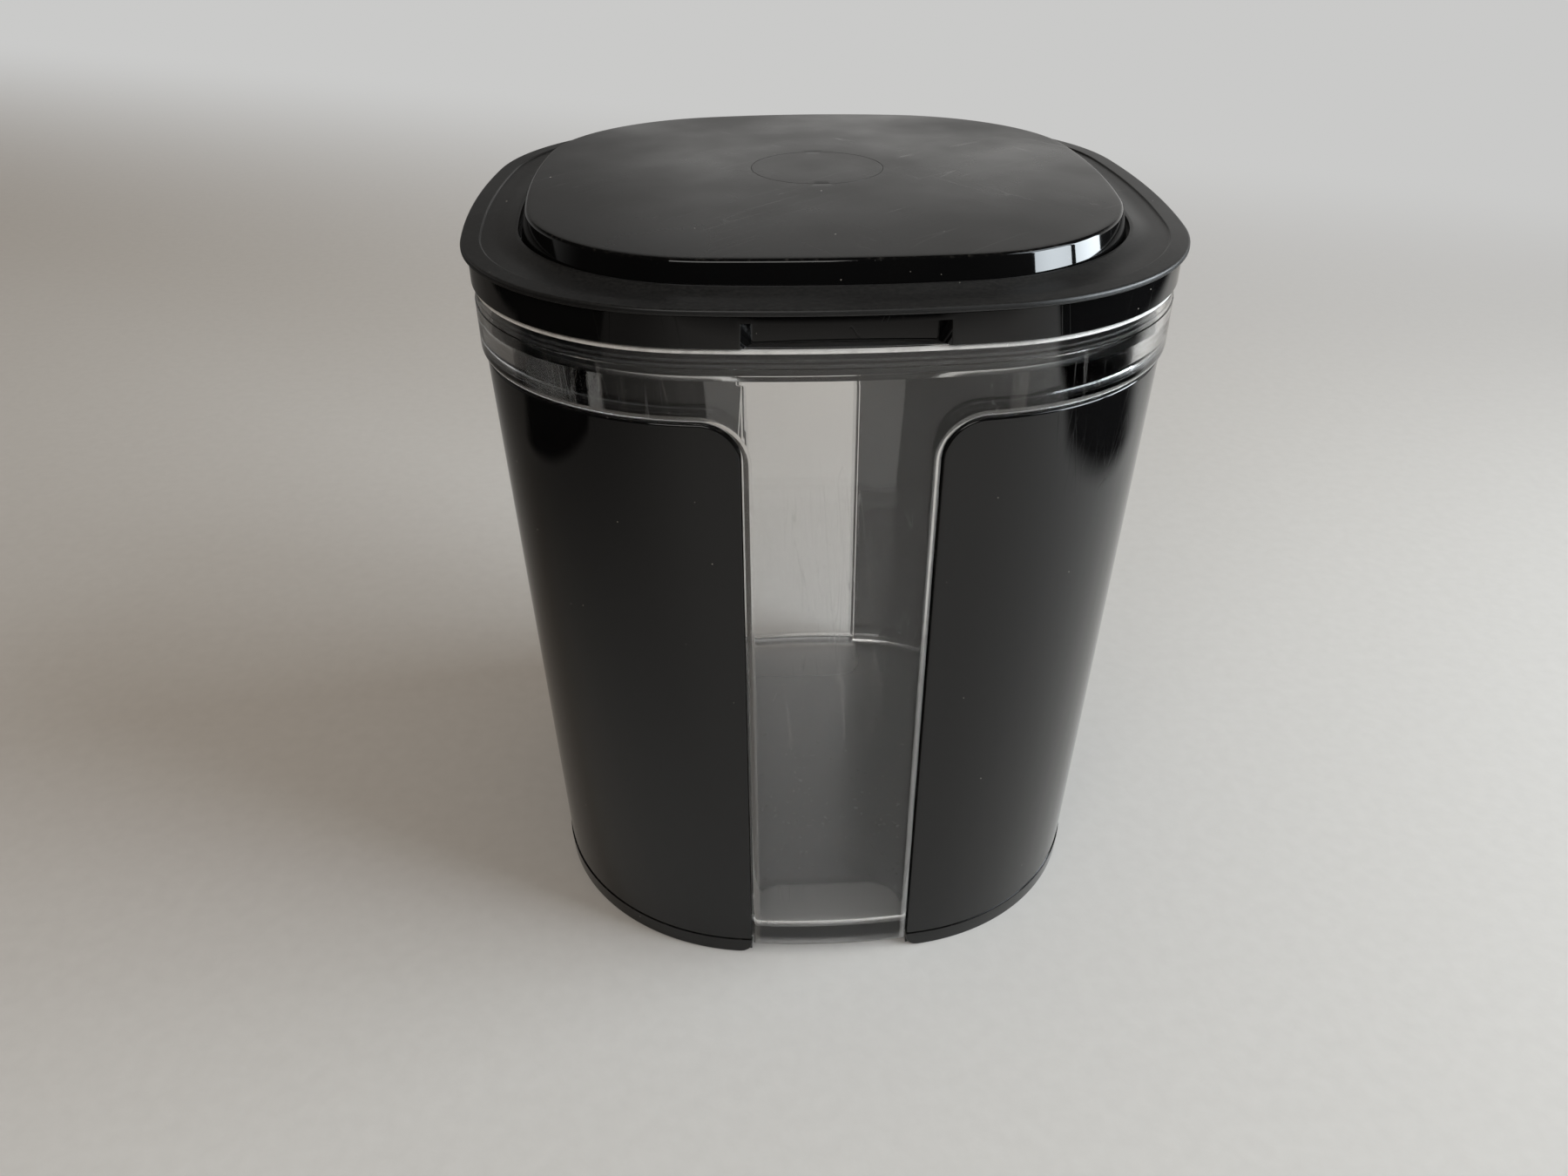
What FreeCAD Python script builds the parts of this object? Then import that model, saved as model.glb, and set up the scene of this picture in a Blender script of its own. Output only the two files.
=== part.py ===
import FreeCAD, Part
import math
import os
import re
from dataclasses import dataclass

import Sketcher

# Food storage box: a clear tapered bin in a black cradle jacket, closed by a push-in lid.
# Lengths are in millimetres. The origin is on the table under the middle of the box, +Z is up,
# and the front, with its window and finger recess, faces -Y.

SIZES = (
    # The lid ring is the widest outline; every outline above the taper is drawn in from it.
    ("ring_half", 75.8, "half width of the lid ring"),
    ("ring_side_radius", 248.5, "radius of the bulged sides at the lid ring"),
    ("ring_corner_radius", 51.7, "radius of the corners at the lid ring"),
    ("ring_overhang", 1.2, "how far the lid ring stands out over the lid frame"),
    ("collar_inset", 0.3, "how far the bin's collar is drawn in from the lid frame"),
    # Jacket: two side cheeks joined by a base plate, open in a window at the front and the back.
    ("taper_inset", 5.0, "how far the taper draws in from the collar down to the table"),
    ("base_side_radius", 165.0, "radius of the bulged sides at the table"),
    ("base_corner_radius", 52.0, "radius of the corners at the table"),
    ("jacket_height", 144.2, "height of the jacket"),
    ("jacket_wall", 2.2, "wall of the jacket"),
    ("foot_height", 2.0, "height of the foot band round the bottom of the jacket"),
    ("foot_step", 0.35, "how far the foot band is drawn in"),
    ("foot_rim", 3.4, "width of the rim that meets the table"),
    ("base_lift", 0.7, "height of the base plate over the table"),
    ("base_plate", 2.0, "thickness of the base plate"),
    ("window_half", 19.0, "half width of the window"),
    ("window_corner", 8.0, "radius of the jacket's corners at the top of the window"),
    ("window_foot_corner", 1.4, "radius of the jacket's corners at the bottom of the window"),
    ("notch_depth", 19.0, "depth of the notch in the base plate under each window"),
    ("notch_corner", 8.0, "radius of the notch's inner corners"),
    ("jacket_edge", 0.5, "rounding of the jacket's open edges"),
    # Bin: its collar and its two window pads form one raised skin round the jacket.
    ("taper_rise", 3.5, "height over the jacket where the taper ends and the collar begins"),
    ("skin_proud", 0.8, "how far the raised skin stands out over the jacket"),
    ("skin_round", 1.7, "rounding of the raised skin's edge"),
    ("fit_gap", 0.3, "clearance of the bin in the jacket"),
    ("seat_gap", 0.2, "clearance under the bin"),
    ("bin_wall", 2.0, "wall of the bin"),
    ("bin_floor", 2.4, "floor of the bin"),
    ("bin_floor_round", 5.0, "rounding inside, round the bin's floor"),
    ("collar_rise", 14.8, "height of the bin's rim over the jacket"),
    ("collar_wall", 2.2, "wall of the collar"),
    ("shelf_rise", 2.3, "height over the jacket where the inner shelf leaves the wall"),
    ("shelf_slope", 2.5, "height of the inner shelf's slope"),
    ("rim_band", 3.5, "height of the band under the rim"),
    ("rim_step", 0.2, "how far the band is drawn in"),
    ("rim_round_share", 0.35, "rounding of the rim, as a share of its width"),
    # Lid frame: the glossy skirt with the finger recess, and the deck that carries the rest.
    ("lid_gap", 0.3, "clearance between the rim and the lid frame"),
    ("frame_height", 6.45, "height of the lid frame"),
    ("plug_land", 2.4, "width of the frame's underside that rests on the plug"),
    ("deck", 2.0, "thickness of the deck"),
    ("recess_half", 19.2, "half width of the finger recess at its mouth"),
    ("recess_back_half", 16.7, "half width of the finger recess at its back"),
    ("recess_depth", 3.6, "depth of the finger recess"),
    ("recess_roof", 1.65, "thickness left over the finger recess"),
    ("frame_edge", 0.5, "rounding of the frame's top edge"),
    # Lid ring: soft collar round the top plate.
    ("ring_edge", 1.15, "thickness of the ring at its outer edge"),
    ("ring_rise", 0.15, "how far the outer band rises toward its inner edge"),
    ("ring_dip", 0.3, "how far the flat inner band lies below that edge"),
    ("ring_band", 3.9, "width of the ring's outer band"),
    ("ring_bead", 0.55, "rounding of the ring's outer edge"),
    ("lip_height", 0.6, "height of the lip round the top plate over the flat band"),
    ("lip_wall", 0.7, "width of the lip's top"),
    ("lip_slope", 2.2, "width of the slope from the lip down to the flat band"),
    # Top plate: raised glossy cap with a crowned top.
    ("cap_inset", 11.95, "how far the top plate's foot is drawn in from the lid ring"),
    ("cap_side_radius", 229.3, "radius of its bulged sides"),
    ("cap_corner_radius", 42.9, "radius of its corners"),
    ("cap_draft", 1.3, "how far its sides lean in"),
    ("cap_height", 6.0, "height of its edge over the deck"),
    ("cap_crown", 1.2, "rise of the crown over the middle of the edges"),
    ("cap_wall", 2.2, "wall of the top plate"),
    ("cap_gap", 0.4, "gap between the top plate and the ring's lip"),
    ("cap_edge", 0.8, "rounding of its top edge"),
    ("disc_radius", 14.5, "radius of the disc inlaid in the middle"),
    ("disc_thickness", 1.1, "thickness of the disc"),
    ("disc_gap", 0.15, "gap round the disc"),
    # Plug: closed tray under the lid, which enters the collar and carries the seal.
    ("plug_shoulder", 1.6, "height of the plug between its seal groove and the bin's rim"),
    ("plug_gap", 1.5, "gap between the plug and the collar"),
    ("plug_floor", 1.8, "floor of the plug"),
    ("plug_round", 1.0, "rounding round the plug's floor"),
    ("tongue_gap", 0.2, "clearance of the plug's tongue in the frame"),
    ("tongue_wall", 1.8, "wall of the tongue"),
    ("groove_depth", 1.3, "depth of the seal groove"),
    ("groove_rise", 1.4, "height of the seal groove over the plug's underside"),
    ("groove_height", 3.2, "height of the seal groove"),
    ("seal_gap", 0.3, "clearance between the seal's fins and the collar"),
    ("seal_seat", 0.1, "clearance of the seal in its groove"),
    ("seal_back", 0.9, "thickness of the seal's back strip"),
    ("fin_height", 0.6, "thickness of each sealing fin"),
    ("fin_round_share", 0.35, "rounding of each fin's edge, as a share of its thickness"),
    # One size serves the drawing alone.
    ("overrun", 10.0, "how far every cut runs past the solid"),
)
# The seal's fins, one above the other.
FINS = 2
# Two heights count as one where they are closer than this share of the lid ring's half width.
SAME_HEIGHT_SHARE = 0.00002

doc = FreeCAD.newDocument("storage_box")
sheet = doc.addObject("Spreadsheet::Sheet", "sizes")
for row, (alias, value, meaning) in enumerate(SIZES, start=1):
    sheet.set(f"A{row}", meaning)
    sheet.set(f"B{row}", str(value))
    sheet.setAlias(f"B{row}", alias)
doc.recompute()
ALIASES = re.compile(r"\b(" + "|".join(alias for alias, _, _ in SIZES) + r")\b")


def bound(text):
    """The expression as another object writes it, with each size read from the sheet."""
    return ALIASES.sub(r"sizes.\1", text)


def number(text):
    """The present value of an expression in the sheet's sizes."""
    return float(sheet.evalExpression(text))


@dataclass(frozen=True)
class Outline:
    """A rounded square of eight tangent arcs: four bulged sides and four corners."""

    half: str
    side: str
    corner: str

    def inset(self, by):
        """The parallel outline that lies inside this one."""
        return Outline(*(f"({part}) - ({by})" for part in (self.half, self.side, self.corner)))

    def outset(self, by):
        """The parallel outline that lies outside this one."""
        return self.inset(f"-({by})")


RING = Outline("ring_half", "ring_side_radius", "ring_corner_radius")
FRAME = RING.inset("ring_overhang")
COLLAR = FRAME.inset("collar_inset")
BASE = Outline(COLLAR.inset("skin_proud + taper_inset").half, "base_side_radius", "base_corner_radius")
CAP = Outline(RING.inset("cap_inset").half, "cap_side_radius", "cap_corner_radius")

COLLAR_INSIDE = COLLAR.inset("collar_wall")
PLUG = COLLAR_INSIDE.inset("plug_gap")
FRAME_HOLLOW = PLUG.inset("plug_land")
TONGUE = FRAME_HOLLOW.inset("tongue_gap")
LIP_INSIDE = CAP.outset("cap_gap")
PAD_HALF = "window_half - fit_gap"
BASE_TOP = "base_lift + base_plate"
BIN_BOTTOM = f"{BASE_TOP} + seat_gap"
FLOOR_TOP = f"{BIN_BOTTOM} + bin_floor"
LEDGE = "jacket_height + fit_gap"
SHELF_LOW = "jacket_height + shelf_rise"
SHELF_HIGH = f"{SHELF_LOW} + shelf_slope"
TAPER_TOP = "jacket_height + taper_rise"
RIM = "jacket_height + collar_rise"
FRAME_BOTTOM = f"{RIM} + lid_gap"
FRAME_TOP = f"{FRAME_BOTTOM} + frame_height"
PLUG_DEPTH = "groove_rise + groove_height + plug_shoulder"
PLUG_BOTTOM = f"{RIM} - ({PLUG_DEPTH})"
GROOVE_LOW = f"{PLUG_BOTTOM} + groove_rise"
CAP_TOP = f"{FRAME_TOP} + cap_height"
APEX = f"{CAP_TOP} + cap_crown"
CROWN_RADIUS = f"(({CAP.half} - cap_draft)^2 + cap_crown^2) / (2 * cap_crown)"


def crown(radius):
    """The height of the crowned top at a distance from the upright axis."""
    return f"{APEX} - ({CROWN_RADIUS}) + sqrt(({CROWN_RADIUS})^2 - ({radius})^2)"


def skin(height):
    """The raised skin's outline at a height of the taper, which starts at the table."""
    low, high = BASE.outset("skin_proud"), COLLAR
    pairs = ((low.half, high.half), (low.side, high.side), (low.corner, high.corner))
    return Outline(*(f"({a}) + (({b}) - ({a})) * ({height}) / ({TAPER_TOP})" for a, b in pairs))


def jacket_outside(height):
    """The jacket's outside at a height."""
    return skin(height).inset("skin_proud")


def bin_outside(height):
    """The bin's outside, within the jacket, at a height."""
    return jacket_outside(height).inset("jacket_wall + fit_gap")


def new_body(name):
    """An empty body with its label and its place."""
    body = doc.addObject("PartDesign::Body", name)
    body.Label = name
    body.Placement = FreeCAD.Placement()
    doc.recompute()
    return body


def plane_of(body, role):
    """One of the body's own origin planes."""
    return next(part for part in body.Origin.OriginFeatures if part.Role == role)


def new_sketch(body, name, role, lift):
    """A sketch on an origin plane, lifted along that plane's normal."""
    sketch = body.newObject("Sketcher::SketchObject", name)
    sketch.AttachmentSupport = [(plane_of(body, role), "")]
    sketch.MapMode = "FlatFace"
    sketch.setExpression("AttachmentOffset.Base.z", bound(lift))
    return sketch


def drive(sketch, constraint, name, text):
    """Adds a driving dimension and binds it to the sheet."""
    sketch.renameConstraint(sketch.addConstraint(constraint), name)
    sketch.setExpression(f"Constraints.{name}", bound(text))


def arc(centre, radius, start, end):
    """An arc of a circle, anticlockwise from start to end."""
    circle = Part.Circle(FreeCAD.Vector(centre[0], centre[1], 0), FreeCAD.Vector(0, 0, 1), radius)
    return Part.ArcOfCircle(circle, start, end)


def draw_outline(sketch, outline, tag=""):
    """Draws a rounded square: sides at even places, corners at odd ones, anticlockwise from +X."""
    half, side, corner = (number(part) for part in (outline.half, outline.side, outline.corner))
    back = side - half
    centre = (math.sqrt(2 * (side - corner) ** 2 - back**2) - back) / 2
    swing = math.atan2(centre, centre + back)
    arcs = []
    for quarter in range(4):
        turn = quarter * math.pi / 2
        cos, sin = math.cos(turn), math.sin(turn)
        arcs.append(arc((-back * cos, -back * sin), side, turn - swing, turn + swing))
        at = (centre * (cos - sin), centre * (sin + cos))
        arcs.append(arc(at, corner, turn + swing, turn + math.pi / 2 - swing))
    first = len(sketch.Geometry)
    sketch.addGeometry(arcs, False)
    count = len(arcs)
    for index in range(count):
        follower = first + (index + 1) % count
        sketch.addConstraint(Sketcher.Constraint("Tangent", first + index, 2, follower, 1))
    for index in range(2, count, 2):
        sketch.addConstraint(Sketcher.Constraint("Equal", first, first + index))
        sketch.addConstraint(Sketcher.Constraint("Equal", first + 1, first + index + 1))
    sketch.addConstraint(Sketcher.Constraint("PointOnObject", first, 3, -1))
    sketch.addConstraint(Sketcher.Constraint("PointOnObject", first + 2, 3, -2))
    sketch.addConstraint(Sketcher.Constraint("Symmetric", first, 3, first + 4, 3, -1, 1))
    sketch.addConstraint(Sketcher.Constraint("Symmetric", first + 2, 3, first + 6, 3, -1, 1))
    drive(sketch, Sketcher.Constraint("Radius", first, side), f"side{tag}", outline.side)
    drive(sketch, Sketcher.Constraint("Radius", first + 1, corner), f"corner{tag}", outline.corner)
    offset = f"({outline.side}) - ({outline.half})"
    drive(sketch, Sketcher.Constraint("DistanceX", first, 3, -1, 1, back), f"across{tag}", offset)
    drive(sketch, Sketcher.Constraint("DistanceY", first + 2, 3, -1, 1, back), f"along{tag}", offset)


def outline_sketch(body, name, height, *outlines):
    """A level sketch of one outline, or of two that bound a ring."""
    sketch = new_sketch(body, name, "XY_Plane", height)
    for place, outline in enumerate(outlines):
        draw_outline(sketch, outline, "_inner" if place else "")
    return sketch


def profile_sketch(body, name, role, lift, points):
    """A closed profile. Each point is (x, y) for a line that leaves it, or (x, y, radius, turn)
    for an arc that leaves it, with turn 1 anticlockwise and -1 clockwise."""
    sketch = new_sketch(body, name, role, lift)
    draw_profile(sketch, points, "")
    return sketch


def draw_profile(sketch, points, tag):
    """Draws one closed profile into a sketch, each corner driven by the sheet."""
    first = len(sketch.Geometry)
    ends = []
    for place, point in enumerate(points):
        after = points[(place + 1) % len(points)]
        start = FreeCAD.Vector(number(point[0]), number(point[1]), 0)
        stop = FreeCAD.Vector(number(after[0]), number(after[1]), 0)
        if len(point) == 2:
            sketch.addGeometry(Part.LineSegment(start, stop), False)
            ends.append((1, 2))
            continue
        radius, turn = number(point[2]), point[3]
        chord = stop - start
        aside = FreeCAD.Vector(-chord.y, chord.x, 0) * (turn / chord.Length)
        centre = (start + stop) * 0.5 + aside * math.sqrt(radius**2 - (chord.Length / 2) ** 2)
        angles = [math.atan2(end.y - centre.y, end.x - centre.x) for end in (start, stop)][::turn]
        if angles[1] < angles[0]:
            angles[1] += 2 * math.pi
        sketch.addGeometry(arc((centre.x, centre.y), radius, *angles), False)
        ends.append((1, 2) if turn == 1 else (2, 1))
    for place, point in enumerate(points):
        here, after = first + place, first + (place + 1) % len(points)
        follow = ends[(place + 1) % len(points)][0]
        sketch.addConstraint(Sketcher.Constraint("Coincident", here, ends[place][1], after, follow))
        for axis, kind, line in ((0, "DistanceX", -2), (1, "DistanceY", -1)):
            if point[axis] == "0":
                sketch.addConstraint(Sketcher.Constraint("PointOnObject", here, ends[place][0], line))
                continue
            rule = Sketcher.Constraint(kind, here, ends[place][0], number(point[axis]))
            drive(sketch, rule, f"{'xy'[axis]}{place}{tag}", point[axis])
        if len(point) > 2:
            rule = Sketcher.Constraint("Radius", here, number(point[2]))
            drive(sketch, rule, f"radius{place}{tag}", point[2])


def flipped(points):
    """The same profile on the other side of the sketch's upright axis."""
    return [(f"-({point[0]})", point[1]) if len(point) == 2
            else (f"-({point[0]})", point[1], point[2], -point[3]) for point in points]


def loft(body, name, low, high, cut=False):
    """A straight-sided loft between two level outlines, each given with its height."""
    sketches = [outline_sketch(body, f"{name}_{end}", height, outline)
                for end, (outline, height) in (("low", low), ("high", high))]
    kind = "PartDesign::SubtractiveLoft" if cut else "PartDesign::AdditiveLoft"
    feature = body.newObject(kind, name)
    feature.Profile = sketches[0]
    feature.Sections = [sketches[1]]
    feature.Ruled = True
    return settle(body, feature)


def pad(body, name, sketch, length):
    """Material over a sketch, up along its plane's normal."""
    feature = body.newObject("PartDesign::Pad", name)
    feature.Profile = sketch
    feature.setExpression("Length", bound(length))
    return settle(body, feature)


def pocket(body, name, sketch, length):
    """A cut over a sketch, up along its plane's normal."""
    feature = body.newObject("PartDesign::Pocket", name)
    feature.Profile = sketch
    feature.Reversed = True
    feature.setExpression("Length", bound(length))
    return settle(body, feature)


def turned(body, name, sketch, cut=False):
    """A full turn of a profile round the box's upright axis."""
    feature = body.newObject("PartDesign::Groove" if cut else "PartDesign::Revolution", name)
    feature.Profile = sketch
    feature.ReferenceAxis = (sketch, ["V_Axis"])
    feature.Angle = 360
    return settle(body, feature)


def mirrored(body, name, *features):
    """The same features again on the other side of the XZ plane."""
    feature = body.newObject("PartDesign::Mirrored", name)
    feature.Originals = list(features)
    feature.MirrorPlane = (plane_of(body, "XZ_Plane"), [""])
    body.Tip = feature
    return settle(body, feature)


def rounded(body, name, radius, test):
    """A rounding of every edge of the body that passes the test."""
    base = body.Tip
    names = [f"Edge{n}" for n, edge in enumerate(base.Shape.Edges, start=1) if test(edge)]
    assert names, f"{name}: no edge to round"
    feature = body.newObject("PartDesign::Fillet", name)
    feature.Base = (base, names)
    feature.setExpression("Radius", bound(radius))
    return settle(body, feature)


def settle(body, feature):
    """Recomputes and makes sure that the feature holds and that it changed the body."""
    before = body.Tip.Shape.Volume if body.Tip and body.Tip != feature and body.Tip.Shape.Faces else 0.0
    doc.recompute()
    assert not {"Invalid", "Error"} & set(feature.State), f"{feature.Name}: {feature.getStatusString()}"
    assert feature.Shape.isValid(), f"{feature.Name}: not valid"
    assert not math.isclose(feature.Shape.Volume, before), f"{feature.Name}: changed nothing"
    return feature


def level(edge, height):
    """Whether an edge lies level at a height."""
    spare = number("ring_half") * SAME_HEIGHT_SHARE
    box, z = edge.BoundBox, number(height)
    return abs(box.ZMin - z) < spare and abs(box.ZMax - z) < spare


def reach(edge):
    """How far from the upright axis an edge's middle point lies, along X or Y, whichever is more."""
    middle = edge.valueAt((edge.FirstParameter + edge.LastParameter) / 2)
    return max(abs(middle.x), abs(middle.y))


def window_profile():
    """The window's outline on the XZ plane: straight sides that flare round the jacket's corners."""
    flare = "window_half + window_corner"
    foot = "window_half + window_foot_corner"
    bend = "jacket_height - window_corner"
    return (
        (f"-({foot})", "-overrun"),
        (foot, "-overrun"),
        (foot, "0", "window_foot_corner", -1),
        ("window_half", "window_foot_corner"),
        ("window_half", bend, "window_corner", -1),
        (flare, "jacket_height"),
        (flare, "jacket_height + overrun"),
        (f"-({flare})", "jacket_height + overrun"),
        (f"-({flare})", "jacket_height", "window_corner", -1),
        ("-window_half", bend),
        ("-window_half", "window_foot_corner", "window_foot_corner", -1),
        (f"-({foot})", "0"),
    )


def build_jacket():
    """The black cradle: tapered side cheeks, a foot band, and a base plate notched under each window."""
    body = new_body("outer_jacket")
    loft(body, "jacket_outer", (jacket_outside("0"), "0"), (jacket_outside("jacket_height"), "jacket_height"))
    inner = [(jacket_outside(z).inset("jacket_wall"), z) for z in (BASE_TOP, "jacket_height + overrun")]
    loft(body, "jacket_hollow", *inner, cut=True)
    rounded(body, "open_edge", "jacket_edge", lambda edge: level(edge, "jacket_height"))
    slot_back = f"{BASE.half} - foot_rim - jacket_wall"
    slot = profile_sketch(body, "window_sketch", "XZ_Plane", slot_back, window_profile())
    mirrored(body, "windows", pocket(body, "window", slot, "ring_half"))
    band = outline_sketch(body, "foot_band_sketch", "0", BASE.outset("overrun"), BASE.inset("foot_step"))
    pocket(body, "foot_band", band, "foot_height")
    under = outline_sketch(body, "base_hollow_sketch", "0", BASE.inset("foot_rim"))
    pocket(body, "base_hollow", under, "base_lift")
    back = f"notch_depth - ({BASE.half})"
    bend = f"notch_depth - notch_corner - ({BASE.half})"
    notch = profile_sketch(body, "notch_sketch", "XY_Plane", "-overrun", (
        ("-window_half", f"-({BASE.half} + overrun)"),
        ("window_half", f"-({BASE.half} + overrun)"),
        ("window_half", bend, "notch_corner", 1),
        ("window_half - notch_corner", back),
        ("-(window_half - notch_corner)", back, "notch_corner", 1),
        ("-window_half", bend),
    ))
    mirrored(body, "notches", pocket(body, "notch", notch, f"{BASE_TOP} + 2 * overrun"))
    return body


def build_bin():
    """The clear bin: a tapered vessel whose collar and two window pads stand out as one raised skin."""
    body = new_body("clear_bin")
    loft(body, "skin", (skin(BIN_BOTTOM), BIN_BOTTOM), (skin(TAPER_TOP), TAPER_TOP))
    pad(body, "collar", outline_sketch(body, "collar_sketch", TAPER_TOP, COLLAR), "collar_rise - taper_rise")
    wide = "ring_half + overrun"
    bend = "window_corner + fit_gap"
    cheek = [
        (PAD_HALF, "-overrun"),
        (wide, "-overrun"),
        (wide, LEDGE),
        ("window_half + window_corner", LEDGE, bend, 1),
        (PAD_HALF, f"{LEDGE} - ({bend})"),
    ]
    seat = new_sketch(body, "jacket_seat_sketch", "XZ_Plane", f"-({wide})")
    draw_profile(seat, cheek, "_right")
    draw_profile(seat, flipped(cheek), "_left")
    pocket(body, "jacket_seat", seat, f"2 * ({wide})")
    rounded(body, "skin_edge", "skin_round", skin_edge)
    loft(body, "vessel", (bin_outside(BIN_BOTTOM), BIN_BOTTOM), (bin_outside(SHELF_LOW), SHELF_LOW))
    low, high = [(bin_outside(z).inset("bin_wall"), z) for z in (FLOOR_TOP, SHELF_LOW)]
    loft(body, "hollow", low, high, cut=True)
    loft(body, "shelf", high, (COLLAR_INSIDE, SHELF_HIGH), cut=True)
    mouth = outline_sketch(body, "mouth_sketch", SHELF_HIGH, COLLAR_INSIDE)
    pocket(body, "mouth", mouth, "collar_rise + overrun")
    border = (COLLAR.outset("overrun"), COLLAR.inset("rim_step"))
    band = outline_sketch(body, "rim_band_sketch", f"{RIM} - rim_band", *border)
    pocket(body, "rim_band", band, "rim_band + overrun")
    rounded(body, "rim", "(collar_wall - rim_step) * rim_round_share", lambda edge: level(edge, RIM))
    rounded(body, "floor_round", "bin_floor_round", lambda edge: level(edge, FLOOR_TOP))
    return body


def skin_edge(edge):
    """Whether an edge is on the outer border of the raised skin, where the skin drops to the jacket."""
    if edge.BoundBox.ZMax > number(f"{LEDGE} + fit_gap"):
        return False
    if level(edge, BIN_BOTTOM):
        return reach(edge) > number("window_half")
    return reach(edge) > number(BASE.half)


def build_frame():
    """The glossy lid frame: a skirt with a finger recess at the front, under a deck."""
    body = new_body("lid_frame")
    pad(body, "skirt", outline_sketch(body, "skirt_sketch", FRAME_BOTTOM, FRAME), "frame_height")
    inside = outline_sketch(body, "frame_hollow_sketch", f"{FRAME_BOTTOM} - overrun", FRAME_HOLLOW)
    pocket(body, "frame_hollow", inside, "frame_height - deck + overrun")
    mouth = "-(ring_half - ring_overhang)"
    back = "-(ring_half - ring_overhang - recess_depth)"
    slope = "(recess_half - recess_back_half) / recess_depth"
    wide = f"recess_half + overrun * {slope}"
    recess = profile_sketch(body, "recess_sketch", "XY_Plane", f"{FRAME_BOTTOM} - overrun", (
        (f"-({wide})", f"{mouth} - overrun"),
        (wide, f"{mouth} - overrun"),
        ("recess_back_half", back),
        ("-recess_back_half", back),
    ))
    pocket(body, "finger_recess", recess, "frame_height - recess_roof + overrun")
    rounded(body, "frame_top_edge", "frame_edge", lambda edge: level(edge, FRAME_TOP))
    return body


def build_ring():
    """The soft lid ring: a flat band between a sloped lip round the top plate and an outer band."""
    body = new_body("lid_ring")
    crest = RING.inset("ring_band")
    edge_top = f"{FRAME_TOP} + ring_edge"
    crest_top = f"{edge_top} + ring_rise"
    flat_top = f"{crest_top} - ring_dip"
    pad(body, "ring_base", outline_sketch(body, "ring_base_sketch", FRAME_TOP, RING), "ring_edge")
    loft(body, "outer_band", (RING, edge_top), (crest, crest_top))
    pocket(body, "flat_band", outline_sketch(body, "flat_band_sketch", flat_top, crest), "overrun")
    lip = LIP_INSIDE.outset("lip_wall")
    loft(body, "lip", (lip.outset("lip_slope"), flat_top), (lip, f"{flat_top} + lip_height"))
    opening = outline_sketch(body, "ring_opening_sketch", f"{FRAME_TOP} - overrun", LIP_INSIDE)
    pocket(body, "ring_opening", opening, "ring_edge + ring_rise + lip_height + 2 * overrun")
    rounded(body, "ring_bead", "ring_bead", lambda edge: level(edge, edge_top))
    return body


def build_cap():
    """The raised top plate: a drafted shell with a crowned top and a seat for the disc."""
    body = new_body("top_plate")
    loft(body, "cap", (CAP, FRAME_TOP), (CAP.inset("cap_draft"), APEX))
    wide = f"{CAP.half} + cap_corner_radius"
    above = profile_sketch(body, "crown_sketch", "XZ_Plane", "0", (
        ("0", APEX, CROWN_RADIUS, -1),
        (wide, crown(wide)),
        (wide, f"{APEX} + overrun"),
        ("0", f"{APEX} + overrun"),
    ))
    turned(body, "crown", above, cut=True)
    rounded(body, "cap_top_edge", "cap_edge", cap_top_edge)
    low = (CAP.inset("cap_wall"), FRAME_TOP)
    high = (CAP.inset("cap_draft + cap_wall"), f"{CAP_TOP} - cap_wall")
    loft(body, "cap_hollow", low, high, cut=True)
    seat = new_sketch(body, "disc_seat_sketch", "XY_Plane", f"{APEX} - disc_thickness")
    seat.addGeometry(Part.Circle(FreeCAD.Vector(), FreeCAD.Vector(0, 0, 1), number("disc_radius + disc_gap")))
    seat.addConstraint(Sketcher.Constraint("Coincident", 0, 3, -1, 1))
    rule = Sketcher.Constraint("Radius", 0, number("disc_radius + disc_gap"))
    drive(seat, rule, "radius", "disc_radius + disc_gap")
    pocket(body, "disc_seat", seat, "overrun")
    return body


def cap_top_edge(edge):
    """Whether an edge is part of the top plate's outline, where the crown meets the sides."""
    low, high = number(f"{CAP_TOP} - cap_crown"), number(f"{CAP_TOP} + cap_crown / 2")
    return low < edge.BoundBox.ZMin and edge.BoundBox.ZMax < high


def build_disc():
    """The disc inlaid in the middle of the top plate, whose top follows the crown."""
    body = new_body("centre_disc")
    outline = profile_sketch(body, "disc_sketch", "XZ_Plane", "0", (
        ("0", f"{APEX} - disc_thickness"),
        ("disc_radius", f"{APEX} - disc_thickness"),
        ("disc_radius", crown("disc_radius"), CROWN_RADIUS, 1),
        ("0", APEX),
    ))
    turned(body, "disc", outline)
    return body


def build_plug():
    """The plug: a closed tray that enters the collar, with a seal groove and a tongue in the frame."""
    body = new_body("lid_plug")
    pad(body, "tray", outline_sketch(body, "tray_sketch", PLUG_BOTTOM, PLUG), f"{PLUG_DEPTH} + lid_gap")
    rounded(body, "tray_edge", "plug_round", lambda edge: level(edge, PLUG_BOTTOM))
    tongue = outline_sketch(body, "tongue_sketch", FRAME_BOTTOM, TONGUE)
    pad(body, "tongue", tongue, "frame_height - deck - tongue_gap")
    floor = f"{PLUG_BOTTOM} + plug_floor"
    hollow = outline_sketch(body, "tray_hollow_sketch", floor, TONGUE.inset("tongue_wall"))
    pocket(body, "tray_hollow", hollow, f"{PLUG_DEPTH} + frame_height + overrun")
    border = (PLUG.outset("overrun"), PLUG.inset("groove_depth"))
    groove = outline_sketch(body, "groove_sketch", GROOVE_LOW, *border)
    pocket(body, "groove", groove, "groove_height")
    return body


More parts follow.
